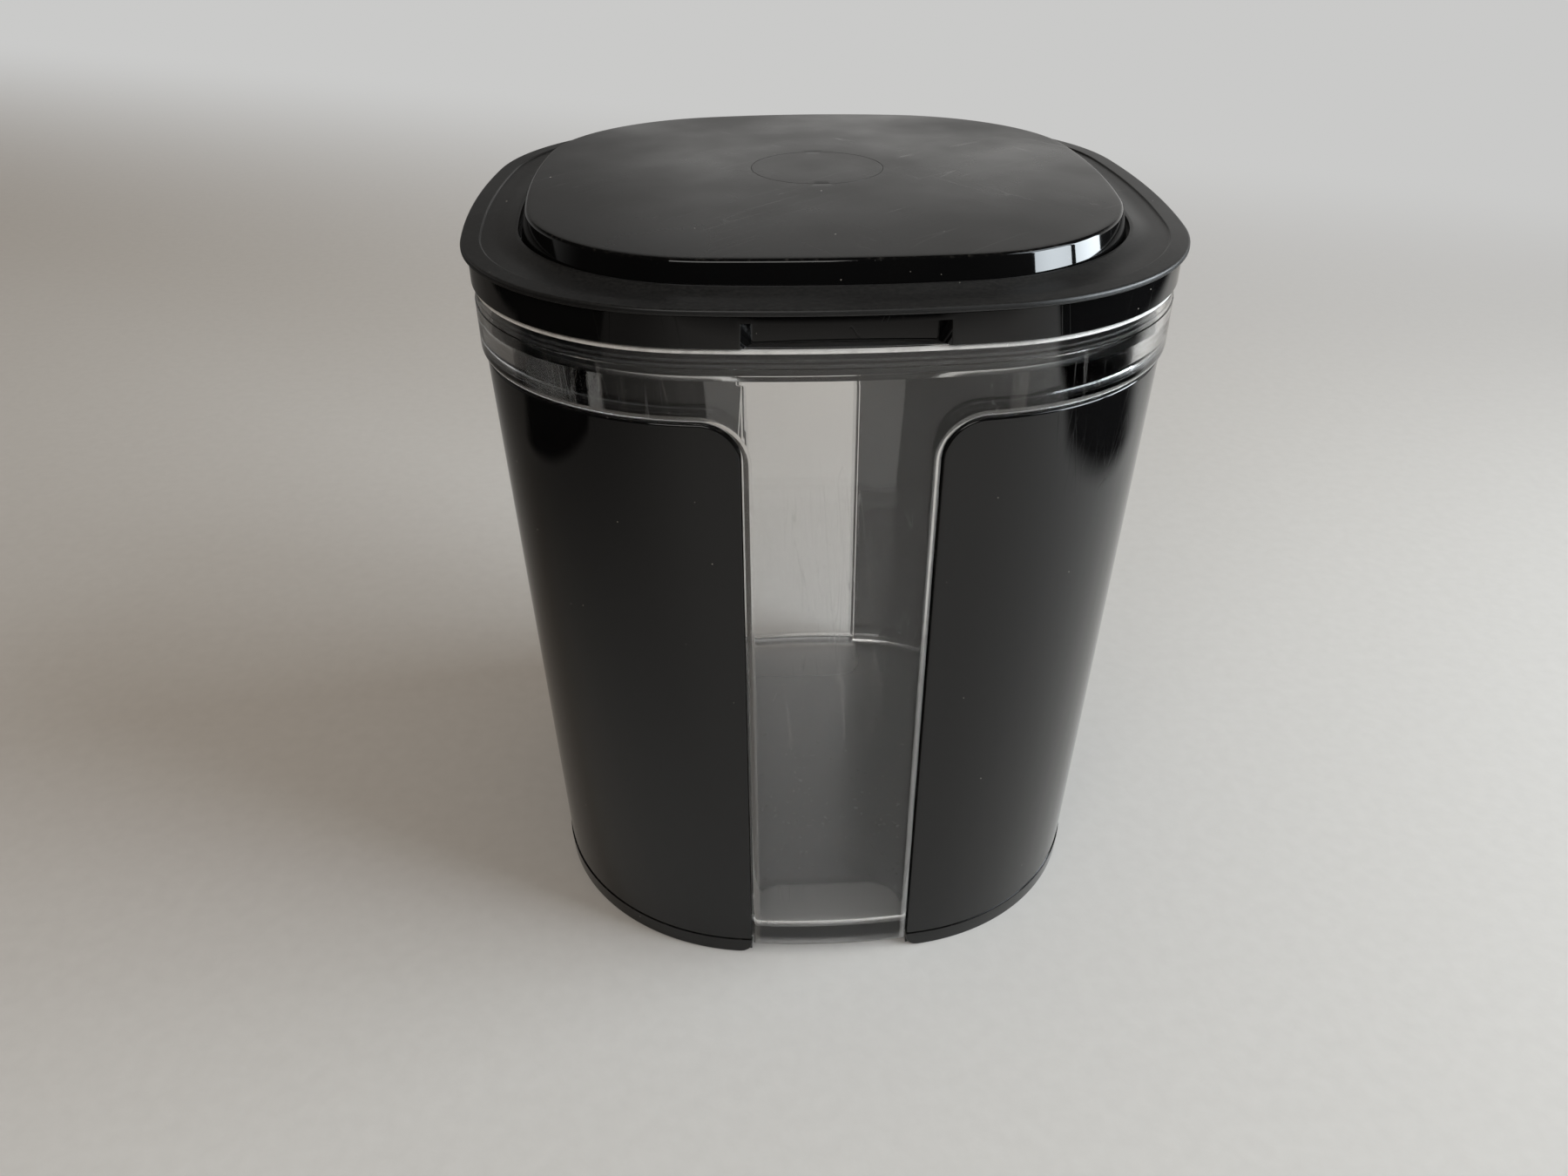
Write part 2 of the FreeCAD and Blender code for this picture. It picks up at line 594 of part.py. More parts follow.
def build_seal():
    """The silicone seal: a back strip in the plug's groove with two fins that meet the collar."""
    body = new_body("seal_ring")
    inside = PLUG.inset("groove_depth - seal_seat")
    border = (inside.outset("seal_back"), inside)
    strip = outline_sketch(body, "strip_sketch", f"{GROOVE_LOW} + seal_seat", *border)
    pad(body, "strip", strip, "groove_height - 2 * seal_seat")
    tip = COLLAR_INSIDE.inset("seal_gap")
    for place in range(1, FINS + 1):
        middle = f"{GROOVE_LOW} + groove_height * {place} / {FINS + 1}"
        fin = outline_sketch(body, f"fin_sketch_{place}", f"{middle} - fin_height / 2", tip, inside)
        pad(body, f"fin_{place}", fin, "fin_height")
    rounded(body, "fin_edges", "fin_height * fin_round_share",
            lambda edge: reach(edge) > number(f"{tip.half} - seal_gap"))
    return body


bodies = [
    build_jacket(),
    build_bin(),
    build_frame(),
    build_ring(),
    build_cap(),
    build_disc(),
    build_plug(),
    build_seal(),
]

faulty = [part.Name for part in doc.Objects if {"Invalid", "Error"} & set(part.State)]
assert not faulty, f"failed objects: {faulty}"
for body in bodies:
    shape = body.Shape
    assert not shape.isNull() and shape.isValid() and len(shape.Solids) == 1, f"{body.Label}: no sound solid"

os.makedirs("parts", exist_ok=True)
for body in bodies:
    body.Shape.exportStep(f"parts/{body.Label}.step")
    print(f"{body.Label}: {body.Shape.Volume:.0f} cubic mm, {len(body.Shape.Faces)} faces")
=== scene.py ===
"""Looks of a food storage box: a clear tapered bin in a glossy black jacket, closed by a push-in lid."""

import logging
import math
from collections.abc import Callable, Sequence
from dataclasses import dataclass, replace
from enum import Enum, IntEnum
from functools import reduce
from typing import Any, Protocol

import bmesh
import bpy
from mathutils import Matrix, Vector


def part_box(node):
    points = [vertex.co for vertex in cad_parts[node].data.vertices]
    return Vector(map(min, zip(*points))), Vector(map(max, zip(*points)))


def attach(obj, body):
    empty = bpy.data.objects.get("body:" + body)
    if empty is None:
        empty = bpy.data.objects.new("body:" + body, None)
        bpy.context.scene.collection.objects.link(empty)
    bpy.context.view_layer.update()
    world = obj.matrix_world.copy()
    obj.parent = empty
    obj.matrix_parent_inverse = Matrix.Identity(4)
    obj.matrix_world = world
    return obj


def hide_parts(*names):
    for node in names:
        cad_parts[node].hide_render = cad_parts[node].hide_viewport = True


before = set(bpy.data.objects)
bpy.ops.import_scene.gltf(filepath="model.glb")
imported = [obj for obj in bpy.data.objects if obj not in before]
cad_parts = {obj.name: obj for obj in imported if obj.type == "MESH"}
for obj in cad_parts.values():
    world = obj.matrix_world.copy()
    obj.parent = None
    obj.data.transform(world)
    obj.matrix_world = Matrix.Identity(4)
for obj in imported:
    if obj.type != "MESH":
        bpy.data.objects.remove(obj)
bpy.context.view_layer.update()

MM = 0.001
TOUCH = 0.002 * MM
QUARTER = math.pi / 2
TURN = math.radians(30.0)
CREASE = math.radians(38.0)
ORIGIN = (0.0, 0.0, 0.0)
DAYLIGHT = (0.865, 0.943, 1.0)
log = logging.getLogger("storage_box")

Triple = tuple[float, float, float]
Pair = tuple[float, float]
Points = Sequence[Vector]
Test = Callable[[Points], bool]
Node = bpy.types.Node
Socket = bpy.types.NodeSocket
Settings = dict[str, Any]
Inputs = dict[str | int, Any]


class Axis(Enum):
    """The axes of space, and those of a flat pattern: along the outline, up, and out of the surface."""

    X = 0
    Y = 1
    Z = 2
    ALONG = X
    UP = Y
    OUT = Z


class Pick(Enum):
    """The kind of element that a selection is made of."""

    VERTICES = "VERT"
    EDGES = "EDGE"
    FACES = "FACE"


class Kind(Enum):
    """Which edges a selection takes: any, those where the surface turns, or those of a hole."""

    ANY = 0
    TURNED = 1
    OPEN = 2


class Steps(IntEnum):
    """How many faces a rounding has across."""

    HAIRLINE = 2
    SMALL = 3
    EDGE = 4
    WIDE = 6
    NOTCH = 8
    CORNER = 12


class Coat(IntEnum):
    """The number of a face's material among those of its piece."""

    MAIN = 0
    EDGE = 1
    RIM = 2


def at(axis: Axis, value: float, reach: float = TOUCH) -> Test:
    """Returns a test for elements that lie within reach of a value of an axis."""
    return lambda points: all(abs(point[axis.value] - value) < reach for point in points)


def over(axis: Axis, value: float) -> Test:
    """Returns a test for elements that lie wholly over a value of an axis."""
    return lambda points: all(point[axis.value] > value - TOUCH for point in points)


def under(axis: Axis, value: float) -> Test:
    """Returns a test for elements that lie wholly under a value of an axis."""
    return lambda points: all(point[axis.value] < value + TOUCH for point in points)


def spanning(axis: Axis, length: float) -> Test:
    """Returns a test for elements that are longer along an axis than a length."""
    return lambda points: any(abs(a[axis.value] - b[axis.value]) > length for a in points for b in points)


def every(*tests: Test) -> Test:
    """Returns a test that holds where each given test does."""
    return lambda points: all(test(points) for test in tests)


def either(*tests: Test) -> Test:
    """Returns a test that holds where one of the given tests does."""
    return lambda points: any(test(points) for test in tests)


def neither(*tests: Test) -> Test:
    """Returns a test that holds where none of the given tests does."""
    return lambda points: not any(test(points) for test in tests)


class Path(Protocol):
    """A closed level curve whose points are found by the heading of its outward normal."""

    def at(self, heading: float) -> Vector:
        """Returns the point with that heading."""


@dataclass(frozen=True)
class Circle:
    """A level circle round the box's upright axis."""

    radius: float

    def at(self, heading: float) -> Vector:
        """Returns the point with that heading."""
        return Vector((math.sin(heading), -math.cos(heading))) * self.radius


@dataclass(frozen=True)
class Outline:
    """A rounded square of eight tangent arcs: four bulged sides and four corners.

    A heading is the angle of the outward normal, from the front round to the right.
    """

    half: float
    side: float
    corner: float

    def inset(self, by: float) -> "Outline":
        """Returns the parallel outline that lies inside this one."""
        return Outline(self.half - by, self.side - by, self.corner - by)

    def toward(self, other: "Outline", share: float) -> "Outline":
        """Returns the outline part of the way from this one to another."""
        mine, its = (self.half, self.side, self.corner), (other.half, other.side, other.corner)
        return Outline(*(a + (b - a) * share for a, b in zip(mine, its)))

    @property
    def back(self) -> float:
        """How far behind the upright axis the centre of a side's arc lies."""
        return self.side - self.half

    @property
    def centre(self) -> float:
        """How far out from both axes the centre of a corner's arc lies."""
        return (math.sqrt(2 * (self.side - self.corner) ** 2 - self.back**2) - self.back) / 2

    @property
    def swing(self) -> float:
        """Half of the angle that a side's arc spans."""
        return math.atan2(self.centre, self.centre + self.back)

    def at(self, heading: float) -> Vector:
        """Returns the point with that heading."""
        quarter = round(heading / QUARTER)
        local = heading - quarter * QUARTER
        if abs(local) <= self.swing:
            point = Vector((0.0, self.back)) + Circle(self.side).at(local)
        else:
            centre = Vector((math.copysign(self.centre, local), -self.centre))
            point = centre + Circle(self.corner).at(local)
        cos, sin = round(math.cos(quarter * QUARTER)), round(math.sin(quarter * QUARTER))
        return Vector((point.x * cos - point.y * sin, point.x * sin + point.y * cos))

    def heading_at(self, offset: float) -> float:
        """Returns the heading of the front's point at an offset from the middle."""
        heading = math.asin(offset / self.side)
        if heading <= self.swing:
            return heading
        return math.asin((offset - self.centre) / self.corner)

    def run_to(self, heading: float) -> float:
        """Returns the outline's length from the front's middle to a heading in the quarter to the right."""
        on_corner = min(max(heading - self.swing, 0.0), QUARTER - 2 * self.swing)
        return self.corner * on_corner + self.side * (heading - on_corner)

    def heading_after(self, run: float) -> float:
        """Returns the heading after a run along the outline from the front's middle."""
        side, corner = self.side * self.swing, self.corner * (QUARTER - 2 * self.swing)
        if run <= side:
            return run / self.side
        if run <= side + corner:
            return self.swing + (run - side) / self.corner
        return QUARTER - self.swing + (run - side - corner) / self.side


@dataclass(frozen=True)
class Between:
    """A level curve part of the way from one curve to another."""

    start: Path
    end: Path
    share: float

    def at(self, heading: float) -> Vector:
        """Returns the point with that heading."""
        return self.start.at(heading).lerp(self.end.at(heading), self.share)


@dataclass(frozen=True)
class BoxShape:
    """The sizes that the box's pieces share. Heights are read from the frame's nodes."""

    ring: Outline = Outline(75.8 * MM, 248.5 * MM, 51.7 * MM)
    cap: Outline = Outline(63.85 * MM, 229.3 * MM, 42.9 * MM)
    foot_side: float = 165.0 * MM
    foot_corner: float = 52.0 * MM
    overhang: float = 1.2 * MM
    collar_inset: float = 0.3 * MM
    proud: float = 0.8 * MM
    taper: float = 5.0 * MM
    taper_rise: float = 3.5 * MM
    window_half: float = 19.0 * MM
    window_corner: float = 8.0 * MM
    fit_gap: float = 0.3 * MM
    pattern_quarter: float = 118.0 * MM
    column: float = 2.2 * MM
    row: float = 12.0 * MM
    jacket_top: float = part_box("outer_jacket")[1].z
    bin_low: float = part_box("clear_bin")[0].z
    rim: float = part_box("clear_bin")[1].z
    frame_low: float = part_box("lid_frame")[0].z
    frame_top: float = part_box("lid_frame")[1].z
    plug_low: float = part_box("lid_plug")[0].z
    apex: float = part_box("centre_disc")[1].z

    @property
    def skirt(self) -> Outline:
        """The lid frame's outline."""
        return self.ring.inset(self.overhang)

    @property
    def collar(self) -> Outline:
        """The outline of the bin's collar."""
        return self.skirt.inset(self.collar_inset)

    @property
    def foot(self) -> Outline:
        """The jacket's outline at the table."""
        return Outline(self.collar.half - self.proud - self.taper, self.foot_side, self.foot_corner)

    @property
    def back_middle(self) -> float:
        """Where the middle of the back lies on a flat pattern."""
        return 2 * self.pattern_quarter

    def surface(self, height: float) -> Outline:
        """Returns the jacket's outside at a height, or over the taper the surface behind the raised skin."""
        share = min(height / (self.jacket_top + self.taper_rise), 1.0)
        return self.foot.toward(self.collar.inset(self.proud), share)


SHAPE = BoxShape()


@dataclass(frozen=True)
class Wrap:
    """Lays a flat pattern round the box.

    A pattern's first axis runs round the outline from the middle of the front, its second is the height
    and its third stands out of the surface. Near the middle of the front and the back, the first axis is
    the plain offset from the middle, so that straight cuts stay straight.
    """

    quarter: float = SHAPE.pattern_quarter
    plain: float = 30.0 * MM

    def __call__(self, point: Vector) -> Vector:
        """Returns the place on the box of a point of the pattern."""
        outline = SHAPE.surface(point.y)
        along = abs(point.x)
        behind = along > self.quarter
        if behind:
            along = max(2 * self.quarter - along, 0.0)
        if along <= self.plain:
            heading = outline.heading_at(along)
        else:
            start = outline.run_to(outline.heading_at(self.plain))
            share = (along - self.plain) / (self.quarter - self.plain)
            heading = outline.heading_after(start + (outline.run_to(QUARTER) - start) * share)
        place = outline.at(heading) + Circle(point.z).at(heading)
        return Vector((math.copysign(place.x, point.x), -place.y if behind else place.y, point.y))


class Workpiece:
    """One mesh, shaped in edit mode with Blender's own modelling tools."""

    def __init__(self, name: str) -> None:
        """Gets ready for a new mesh, with nothing selected."""
        self.name = name
        self.object: bpy.types.Object | None = None
        self._leave()

    @staticmethod
    def _leave() -> None:
        """Leaves edit mode and selects nothing."""
        if bpy.context.view_layer.objects.active and bpy.context.mode != "OBJECT":
            bpy.ops.object.mode_set(mode="OBJECT")
        bpy.ops.object.select_all(action="DESELECT")

    def _enter(self, mode: str = "EDIT") -> None:
        """Makes this mesh the active one, in edit or object mode."""
        if bpy.context.view_layer.objects.active != self.object or self.object.mode != mode:
            self._leave()
            self.object.select_set(True)
            bpy.context.view_layer.objects.active = self.object
            bpy.ops.object.mode_set(mode=mode)

    def _take_all(self) -> None:
        """Selects the whole mesh in edit mode."""
        self._enter()
        bpy.ops.mesh.select_all(action="SELECT")

    def _adopt(self, scale: Sequence[float], centre: Sequence[float]) -> "Workpiece":
        """Takes over the primitive just added, at its size and place, and returns the workpiece."""
        self.object = bpy.context.object
        self.object.name = self.name
        self._enter()
        bpy.ops.transform.resize(value=scale, center_override=ORIGIN)
        bpy.ops.transform.translate(value=centre)
        return self

    def block(self, low: Sequence[float], high: Sequence[float]) -> "Workpiece":
        """Adds a block between two corners and returns the workpiece."""
        bpy.ops.mesh.primitive_cube_add(size=1.0)
        return self._adopt(Vector(high) - Vector(low), (Vector(low) + Vector(high)) / 2)

    def grid(self, columns: int, rows: int) -> "Workpiece":
        """Adds a grid that spans its numbers of columns and rows from zero and returns the workpiece."""
        bpy.ops.mesh.primitive_grid_add(x_subdivisions=columns, y_subdivisions=rows, size=1.0)
        return self._adopt((columns, rows, 1.0), (columns / 2, rows / 2, 0.0))

    def select(self, pick: Pick, test: Test, kind: Kind = Kind.ANY) -> int:
        """Selects the elements whose vertices pass a test.

        Args:
            pick: the kind of element.
            test: what the places of the element's vertices have to pass.
            kind: which edges are taken.

        Returns:
            How many elements are selected.
        """
        self._enter()
        bpy.ops.mesh.select_mode(type=pick.value)
        bpy.ops.mesh.select_all(action="DESELECT")
        mesh = bmesh.from_edit_mesh(self.object.data)
        elements = {Pick.VERTICES: mesh.verts, Pick.EDGES: mesh.edges, Pick.FACES: mesh.faces}[pick]
        count = 0
        for element in elements:
            if kind is Kind.OPEN and not element.is_boundary:
                continue
            if kind is Kind.TURNED and element.calc_face_angle(0.0) < TURN:
                continue
            points = [element.co] if pick is Pick.VERTICES else [vertex.co for vertex in element.verts]
            if test(points):
                element.select_set(True)
                count += 1
        mesh.select_flush_mode()
        bmesh.update_edit_mesh(self.object.data)
        return count

    def bevel(self, test: Test, offset: float, steps: Steps, coat: Coat = Coat.MAIN) -> None:
        """Rounds the turned edges that pass a test.

        Args:
            test: what the places of an edge's vertices have to pass.
            offset: how far from the edge the rounding starts.
            steps: how many faces it has across.
            coat: the material that the rounding gets.
        """
        if not self.select(Pick.EDGES, test, Kind.TURNED):
            log.warning("%s: no edge to round", self.name)
            return
        bpy.ops.mesh.bevel(offset=offset, segments=steps, affect="EDGES", clamp_overlap=False)
        if coat is not Coat.MAIN:
            for face in bmesh.from_edit_mesh(self.object.data).faces:
                if face.select:
                    face.material_index = coat

    def delete(self, test: Test) -> None:
        """Deletes the faces that pass a test."""
        self.select(Pick.FACES, test)
        bpy.ops.mesh.delete(type="FACE")

    def shift(self, test: Test, by: Sequence[float]) -> None:
        """Moves the vertices that pass a test."""
        self.select(Pick.VERTICES, test)
        bpy.ops.transform.translate(value=by)

    def draw_out(self, test: Test, by: Sequence[float]) -> None:
        """Extrudes the faces that pass a test."""
        self.select(Pick.FACES, test)
        bpy.ops.mesh.extrude_region_move(TRANSFORM_OT_translate={"value": by})

    def slice(self, axis: Axis, places: Sequence[float]) -> None:
        """Cuts new edges through the whole mesh at places along an axis."""
        normal = [float(axis.value == index) for index in range(3)]
        for place in places:
            self._take_all()
            bpy.ops.mesh.bisect(plane_co=[place * part for part in normal], plane_no=normal, threshold=TOUCH)

    def divide(self, start: float, end: float, top: float) -> None:
        """Cuts a flat pattern between two ends, and up to a top, into columns and rows that follow a wrap."""
        count = round((end - start) / SHAPE.column)
        self.slice(Axis.ALONG, [start + (end - start) * step / count for step in range(1, count)])
        self.slice(Axis.UP, [SHAPE.row * step for step in range(1, round(top / SHAPE.row))])

    def twin(self) -> None:
        """Adds a mirrored copy of the whole mesh on the other side of the pattern's middle."""
        self._take_all()
        bpy.ops.mesh.duplicate()
        bpy.ops.transform.resize(value=(-1.0, 1.0, 1.0), center_override=ORIGIN)
        self.outward()

    def place(self, rule: Callable[[Vector], Vector]) -> None:
        """Moves every vertex to where a rule puts it."""
        self._enter("OBJECT")
        for vertex in self.object.data.vertices:
            vertex.co = rule(vertex.co.copy())
        self._enter()

    def weld(self) -> None:
        """Merges vertices that share a place."""
        self._take_all()
        bpy.ops.mesh.remove_doubles(threshold=TOUCH)

    def close(self, test: Test) -> None:
        """Fills the hole whose edges pass a test with one face."""
        self.select(Pick.EDGES, test, Kind.OPEN)
        bpy.ops.mesh.edge_face_add()

    def outward(self) -> None:
        """Turns every face outward."""
        self._take_all()
        bpy.ops.mesh.normals_make_consistent(inside=False)

    def modify(self, kind: str, **settings: Any) -> None:
        """Adds a modifier, sets it up and applies it."""
        self._enter("OBJECT")
        bpy.ops.object.modifier_add(type=kind)
        modifier = self.object.modifiers[-1]
        for name, value in settings.items():
            setattr(modifier, name, value)
        bpy.ops.object.modifier_apply(modifier=modifier.name)

    def carve(self, cutter: "Workpiece") -> None:
        """Takes another workpiece's solid out of this one and removes that workpiece."""
        cutter.outward()
        self.outward()
        self.modify("BOOLEAN", operation="DIFFERENCE", object=cutter.object, solver="EXACT")
        bpy.data.objects.remove(cutter.object)

    def join(self, other: "Workpiece") -> None:
        """Takes another workpiece's mesh into this one."""
        self._leave()
        other.object.select_set(True)
        self.object.select_set(True)
        bpy.context.view_layer.objects.active = self.object
        bpy.ops.object.join()

    def finish(self) -> bpy.types.Object:
        """Removes faces without an area, smooths the shading between creases and returns the object."""
        self._take_all()
        bpy.ops.mesh.dissolve_degenerate(threshold=TOUCH)
        self.outward()
        self._enter("OBJECT")
        bpy.ops.object.shade_smooth_by_angle(angle=CREASE)
        self.modify("WEIGHTED_NORMAL", keep_sharp=True)
        return self.object


@dataclass(frozen=True)
class Station:
    """One level curve of a loft.

    Attributes:
        path: the curve.
        height: its height.
        fillet: the radius that rounds the loft's profile here.
        sag: the share of the lid's crown that it follows, where its height is that of the middle.
    """

    path: Path
    height: float
    fillet: float = 0.0
    sag: float = 0.0

    def toward(self, other: "Station", share: float) -> "Station":
        """Returns the station part of the way from this one to another."""
        path = Between(self.path, other.path, share)
        height = self.height + (other.height - self.height) * share
        return Station(path, height, sag=self.sag + (other.sag - self.sag) * share)

    def meeting(self, other: "Station") -> "Station":
        """Returns where this station's fillet ends on the stretch to another station."""
        gap = (self.path.at(0.0) - other.path.at(0.0)).length
        room = 0.5 if other.fillet else 1.0
        return self.toward(other, min(self.fillet / math.hypot(gap, self.height - other.height), room))


@dataclass(frozen=True)
class Loft:
    """A smooth wall through level curves, from the first one to the last.

    Its columns are counted on a side and on a corner. Where the wall follows the crown, the rim of an end
    may lie within end_reach of its station's height.
    """

    stations: Sequence[Station]
    crown_radius: float = 1.0
    per_side: int = 26
    per_corner: int = 34
    fillet_steps: int = 4
    end_reach: float = 0.2 * MM

    def headings(self) -> list[float]:
        """Returns the headings of the loft's columns, evenly spaced on the sides and on the corners."""
        swing = SHAPE.ring.swing
        span = QUARTER - 2 * swing
        found = []
        for quarter in range(4):
            start, turn = quarter * QUARTER - swing, quarter * QUARTER + swing
            found += [start + 2 * swing * step / self.per_side for step in range(self.per_side)]
            found += [turn + span * step / self.per_corner for step in range(self.per_corner)]
        return found + [found[0] + 4 * QUARTER]

    def rounded(self) -> list[Station]:
        """Returns the stations with each fillet drawn as short steps."""
        found: list[Station] = []
        for index, station in enumerate(self.stations):
            if not station.fillet:
                found.append(station)
                continue
            before = station.meeting(self.stations[index - 1])
            after = station.meeting(self.stations[(index + 1) % len(self.stations)])
            for step in range(self.fillet_steps + 1):
                share = step / self.fillet_steps
                found.append(before.toward(station, share).toward(station.toward(after, share), share))
        return found

    def build(self, name: str, ring: bool = False) -> Workpiece:
        """Builds the wall.

        Args:
            name: the workpiece's name.
            ring: whether the last station joins the first, instead of both being closed with a face.

        Returns:
            The workpiece, still in edit mode.
        """
        headings, stations = self.headings(), self.rounded()
        if ring:
            stations.append(stations[0])
        work = Workpiece(name).grid(len(headings) - 1, len(stations) - 1)

        def rule(point: Vector) -> Vector:
            """Returns where the grid's point lies on the wall."""
            station = stations[round(point.y)]
            place = station.path.at(headings[round(point.x)])
            drop = self.crown_radius - math.sqrt(self.crown_radius**2 - place.length_squared)
            return Vector((place.x, place.y, station.height - station.sag * drop))

        work.place(rule)
        work.weld()
        if not ring:
            for end in (stations[0], stations[-1]):
                work.close(at(Axis.Z, end.height, self.end_reach))
        return work


class Level:
    """A number of a material that may vary over the surface. Arithmetic on it adds the nodes."""

    def __init__(self, recipe: "Recipe", socket: Socket) -> None:
        """Wraps a socket of a recipe."""
        self.recipe = recipe
        self.socket = socket

    def _math(self, operation: str, first: Any, second: Any = 0.0) -> "Level":
        """Returns the result of a Math node."""
        return self.recipe.level("ShaderNodeMath", {"operation": operation}, {0: first, 1: second})

    def __add__(self, other: Any) -> "Level":
        """Returns the sum."""
        return self._math("ADD", self, other)

    def __sub__(self, other: Any) -> "Level":
        """Returns the difference."""
        return self._math("SUBTRACT", self, other)

    def __mul__(self, other: Any) -> "Level":
        """Returns the product."""
        return self._math("MULTIPLY", self, other)

    def __rsub__(self, other: Any) -> "Level":
        """Returns the difference from a number."""
        return self._math("SUBTRACT", other, self)

    __radd__ = __add__
    __rmul__ = __mul__

    def __abs__(self) -> "Level":
        """Returns the size without its sign."""
        return self._math("ABSOLUTE", self)

    def most(self, other: Any) -> "Level":
        """Returns the larger of this and another value."""
        return self._math("MAXIMUM", self, other)

    def fade(self, low: float, high: float) -> "Level":
        """Returns 0 at the low value and 1 at the high one, with a smooth rise between."""
        settings = {"interpolation_type": "SMOOTHSTEP"}
        inputs = {"Value": self, "From Min": low, "From Max": high}
        return self.recipe.level("ShaderNodeMapRange", settings, inputs)


def opaque(colour: Any) -> Any:
    """Returns a plain colour with its alpha, and a socket as it is."""
    return (*colour, 1.0) if isinstance(colour, tuple) else colour


class Recipe:
    """The nodes of one material, or of the world."""

    def __init__(self, name: str = "", world: bpy.types.World | None = None) -> None:
        """Starts an empty material, or empties a world."""
        self.owner = world or bpy.data.materials.new(name)
        self.owner.use_nodes = True
        self.tree = self.owner.node_tree
        self.tree.nodes.clear()
        self.place = self.node("ShaderNodeTexCoord").outputs["Object"]

    def node(self, kind: str, settings: Settings | None = None, inputs: Inputs | None = None) -> Node:
        """Adds a node.

        Args:
            kind: the node's type.
            settings: its own settings, set first.
            inputs: the values or links of its sockets.

        Returns:
            The node.
        """
        node = self.tree.nodes.new(kind)
        for name, value in (settings or {}).items():
            setattr(node, name, value)
        for name, value in (inputs or {}).items():
            value = value.socket if isinstance(value, Level) else value
            if isinstance(value, Socket):
                self.tree.links.new(value, node.inputs[name])
            else:
                node.inputs[name].default_value = value
        return node

    def level(self, kind: str, settings: Settings | None = None, inputs: Inputs | None = None) -> Level:
        """Adds a node and returns its first output as a level."""
        return Level(self, self.node(kind, settings, inputs).outputs[0])

    def turned(self, turn: Triple, packing: Triple) -> Socket:
        """Returns the object's coordinates, turned and then packed so many times closer along each axis."""
        inputs = {"Vector": self.place, "Rotation": turn, "Scale": [1 / part for part in packing]}
        return self.node("ShaderNodeMapping", {"vector_type": "TEXTURE"}, inputs).outputs[0]

    def parts(self, vector: Socket) -> list[Level]:
        """Returns the three parts of a vector."""
        node = self.node("ShaderNodeSeparateXYZ", inputs={"Vector": vector})
        return [Level(self, part) for part in node.outputs]

    def facing(self) -> Level:
        """Returns 1 on surfaces that face up, 0 on walls and -1 on surfaces that face down."""
        return self.parts(self.node("ShaderNodeNewGeometry").outputs["Normal"])[2]

    def strongest(self, patterns: Sequence["Pattern"]) -> Level:
        """Returns the largest value of several patterns."""
        return reduce(Level.most, [pattern.draw(self) for pattern in patterns])

    def blend(self, share: Level, first: Any, second: Any) -> Socket:
        """Returns a colour that goes from a first to a second one with a share."""
        # Of a Mix node's sockets, inputs 6 and 7 and output 2 are those for colours.
        inputs = {0: share, 6: opaque(first), 7: opaque(second)}
        return self.node("ShaderNodeMix", {"data_type": "RGBA"}, inputs).outputs[2]

    def bump(self, height: Level, distance: float, normal: Socket | None = None) -> Socket:
        """Returns the normal of a surface raised by a height times a distance."""
        inputs: Inputs = {"Height": height, "Distance": distance}
        if normal is not None:
            inputs["Normal"] = normal
        return self.node("ShaderNodeBump", inputs=inputs).outputs[0]

    def plastic(self, inputs: Inputs) -> Socket:
        """Returns a plastic's shader with its inputs."""
        return self.node("ShaderNodeBsdfPrincipled", inputs=inputs).outputs[0]

    def glow(self, kind: str, colour: Any) -> Socket:
        """Returns a glowing shader of a kind and a colour."""
        return self.node(kind, inputs={"Color": opaque(colour)}).outputs[0]

    def mixed(self, share: Level, first: Socket, second: Socket) -> Socket:
        """Returns a shader that goes from a first to a second one with a share."""
        return self.node("ShaderNodeMixShader", inputs={0: share, 1: first, 2: second}).outputs[0]

    def finish(self, shader: Socket, kind: str = "ShaderNodeOutputMaterial") -> Any:
        """Connects the finished shader to an output node and returns the material or the world."""
        self.node(kind, inputs={"Surface": shader})
        return self.owner


class Pattern(Protocol):
    """A pattern over a surface."""

    def draw(self, mix: Recipe) -> Level:
        """Returns the pattern's value over the surface."""


@dataclass(frozen=True)
class Noise:
    """Soft noise.

    Attributes:
        scale: how many patches there are to the metre.
        detail: how many finer layers it has.
        turn: how it is turned.
        packing: how closely it is packed along each axis after the turn, or none for even patches.
        reach: the values that become 0 and 1, or none to keep them all.
    """

    scale: float
    detail: float = 2.0
    turn: Triple = ORIGIN
    packing: Triple | None = None
    reach: Pair | None = None

    def draw(self, mix: Recipe) -> Level:
        """Returns the noise over the surface."""
        place = mix.turned(self.turn, self.packing) if self.packing else mix.place
        inputs = {"Vector": place, "Scale": self.scale, "Detail": self.detail}
        noise = mix.level("ShaderNodeTexNoise", inputs=inputs)
        return noise.fade(*self.reach) if self.reach else noise


@dataclass(frozen=True)
class Scratches:
    """Fine long lines in one direction, broken up in patches.

    Attributes:
        turn: the direction of the lines, as a rotation.
        width: how wide the lines are, as a share of the noise that draws them.
        patch: the share of noise over which a patch has lines.
        packing: how closely the lines are packed along each axis after the turn.
        patch_scale: how many patches there are to the metre.
        patch_soft: the share of noise over which a patch fades out.
    """

    turn: Triple
    width: float
    patch: float
    packing: Triple = (9.0, 340.0, 340.0)
    patch_scale: float = 34.0
    patch_soft: float = 0.06

    def draw(self, mix: Recipe) -> Level:
        """Returns 1 on a line and 0 beside it."""
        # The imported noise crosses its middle, 0.5, along thin lines.
        lines = Noise(1.0, 0.0, self.turn, self.packing).draw(mix)
        reach = (self.patch, self.patch + self.patch_soft)
        patches = Noise(self.patch_scale, 1.0, self.turn, (1.0, 1.0, 1.0), reach).draw(mix)
        return (1.0 - abs(lines - 0.5).fade(0.0, self.width)) * patches


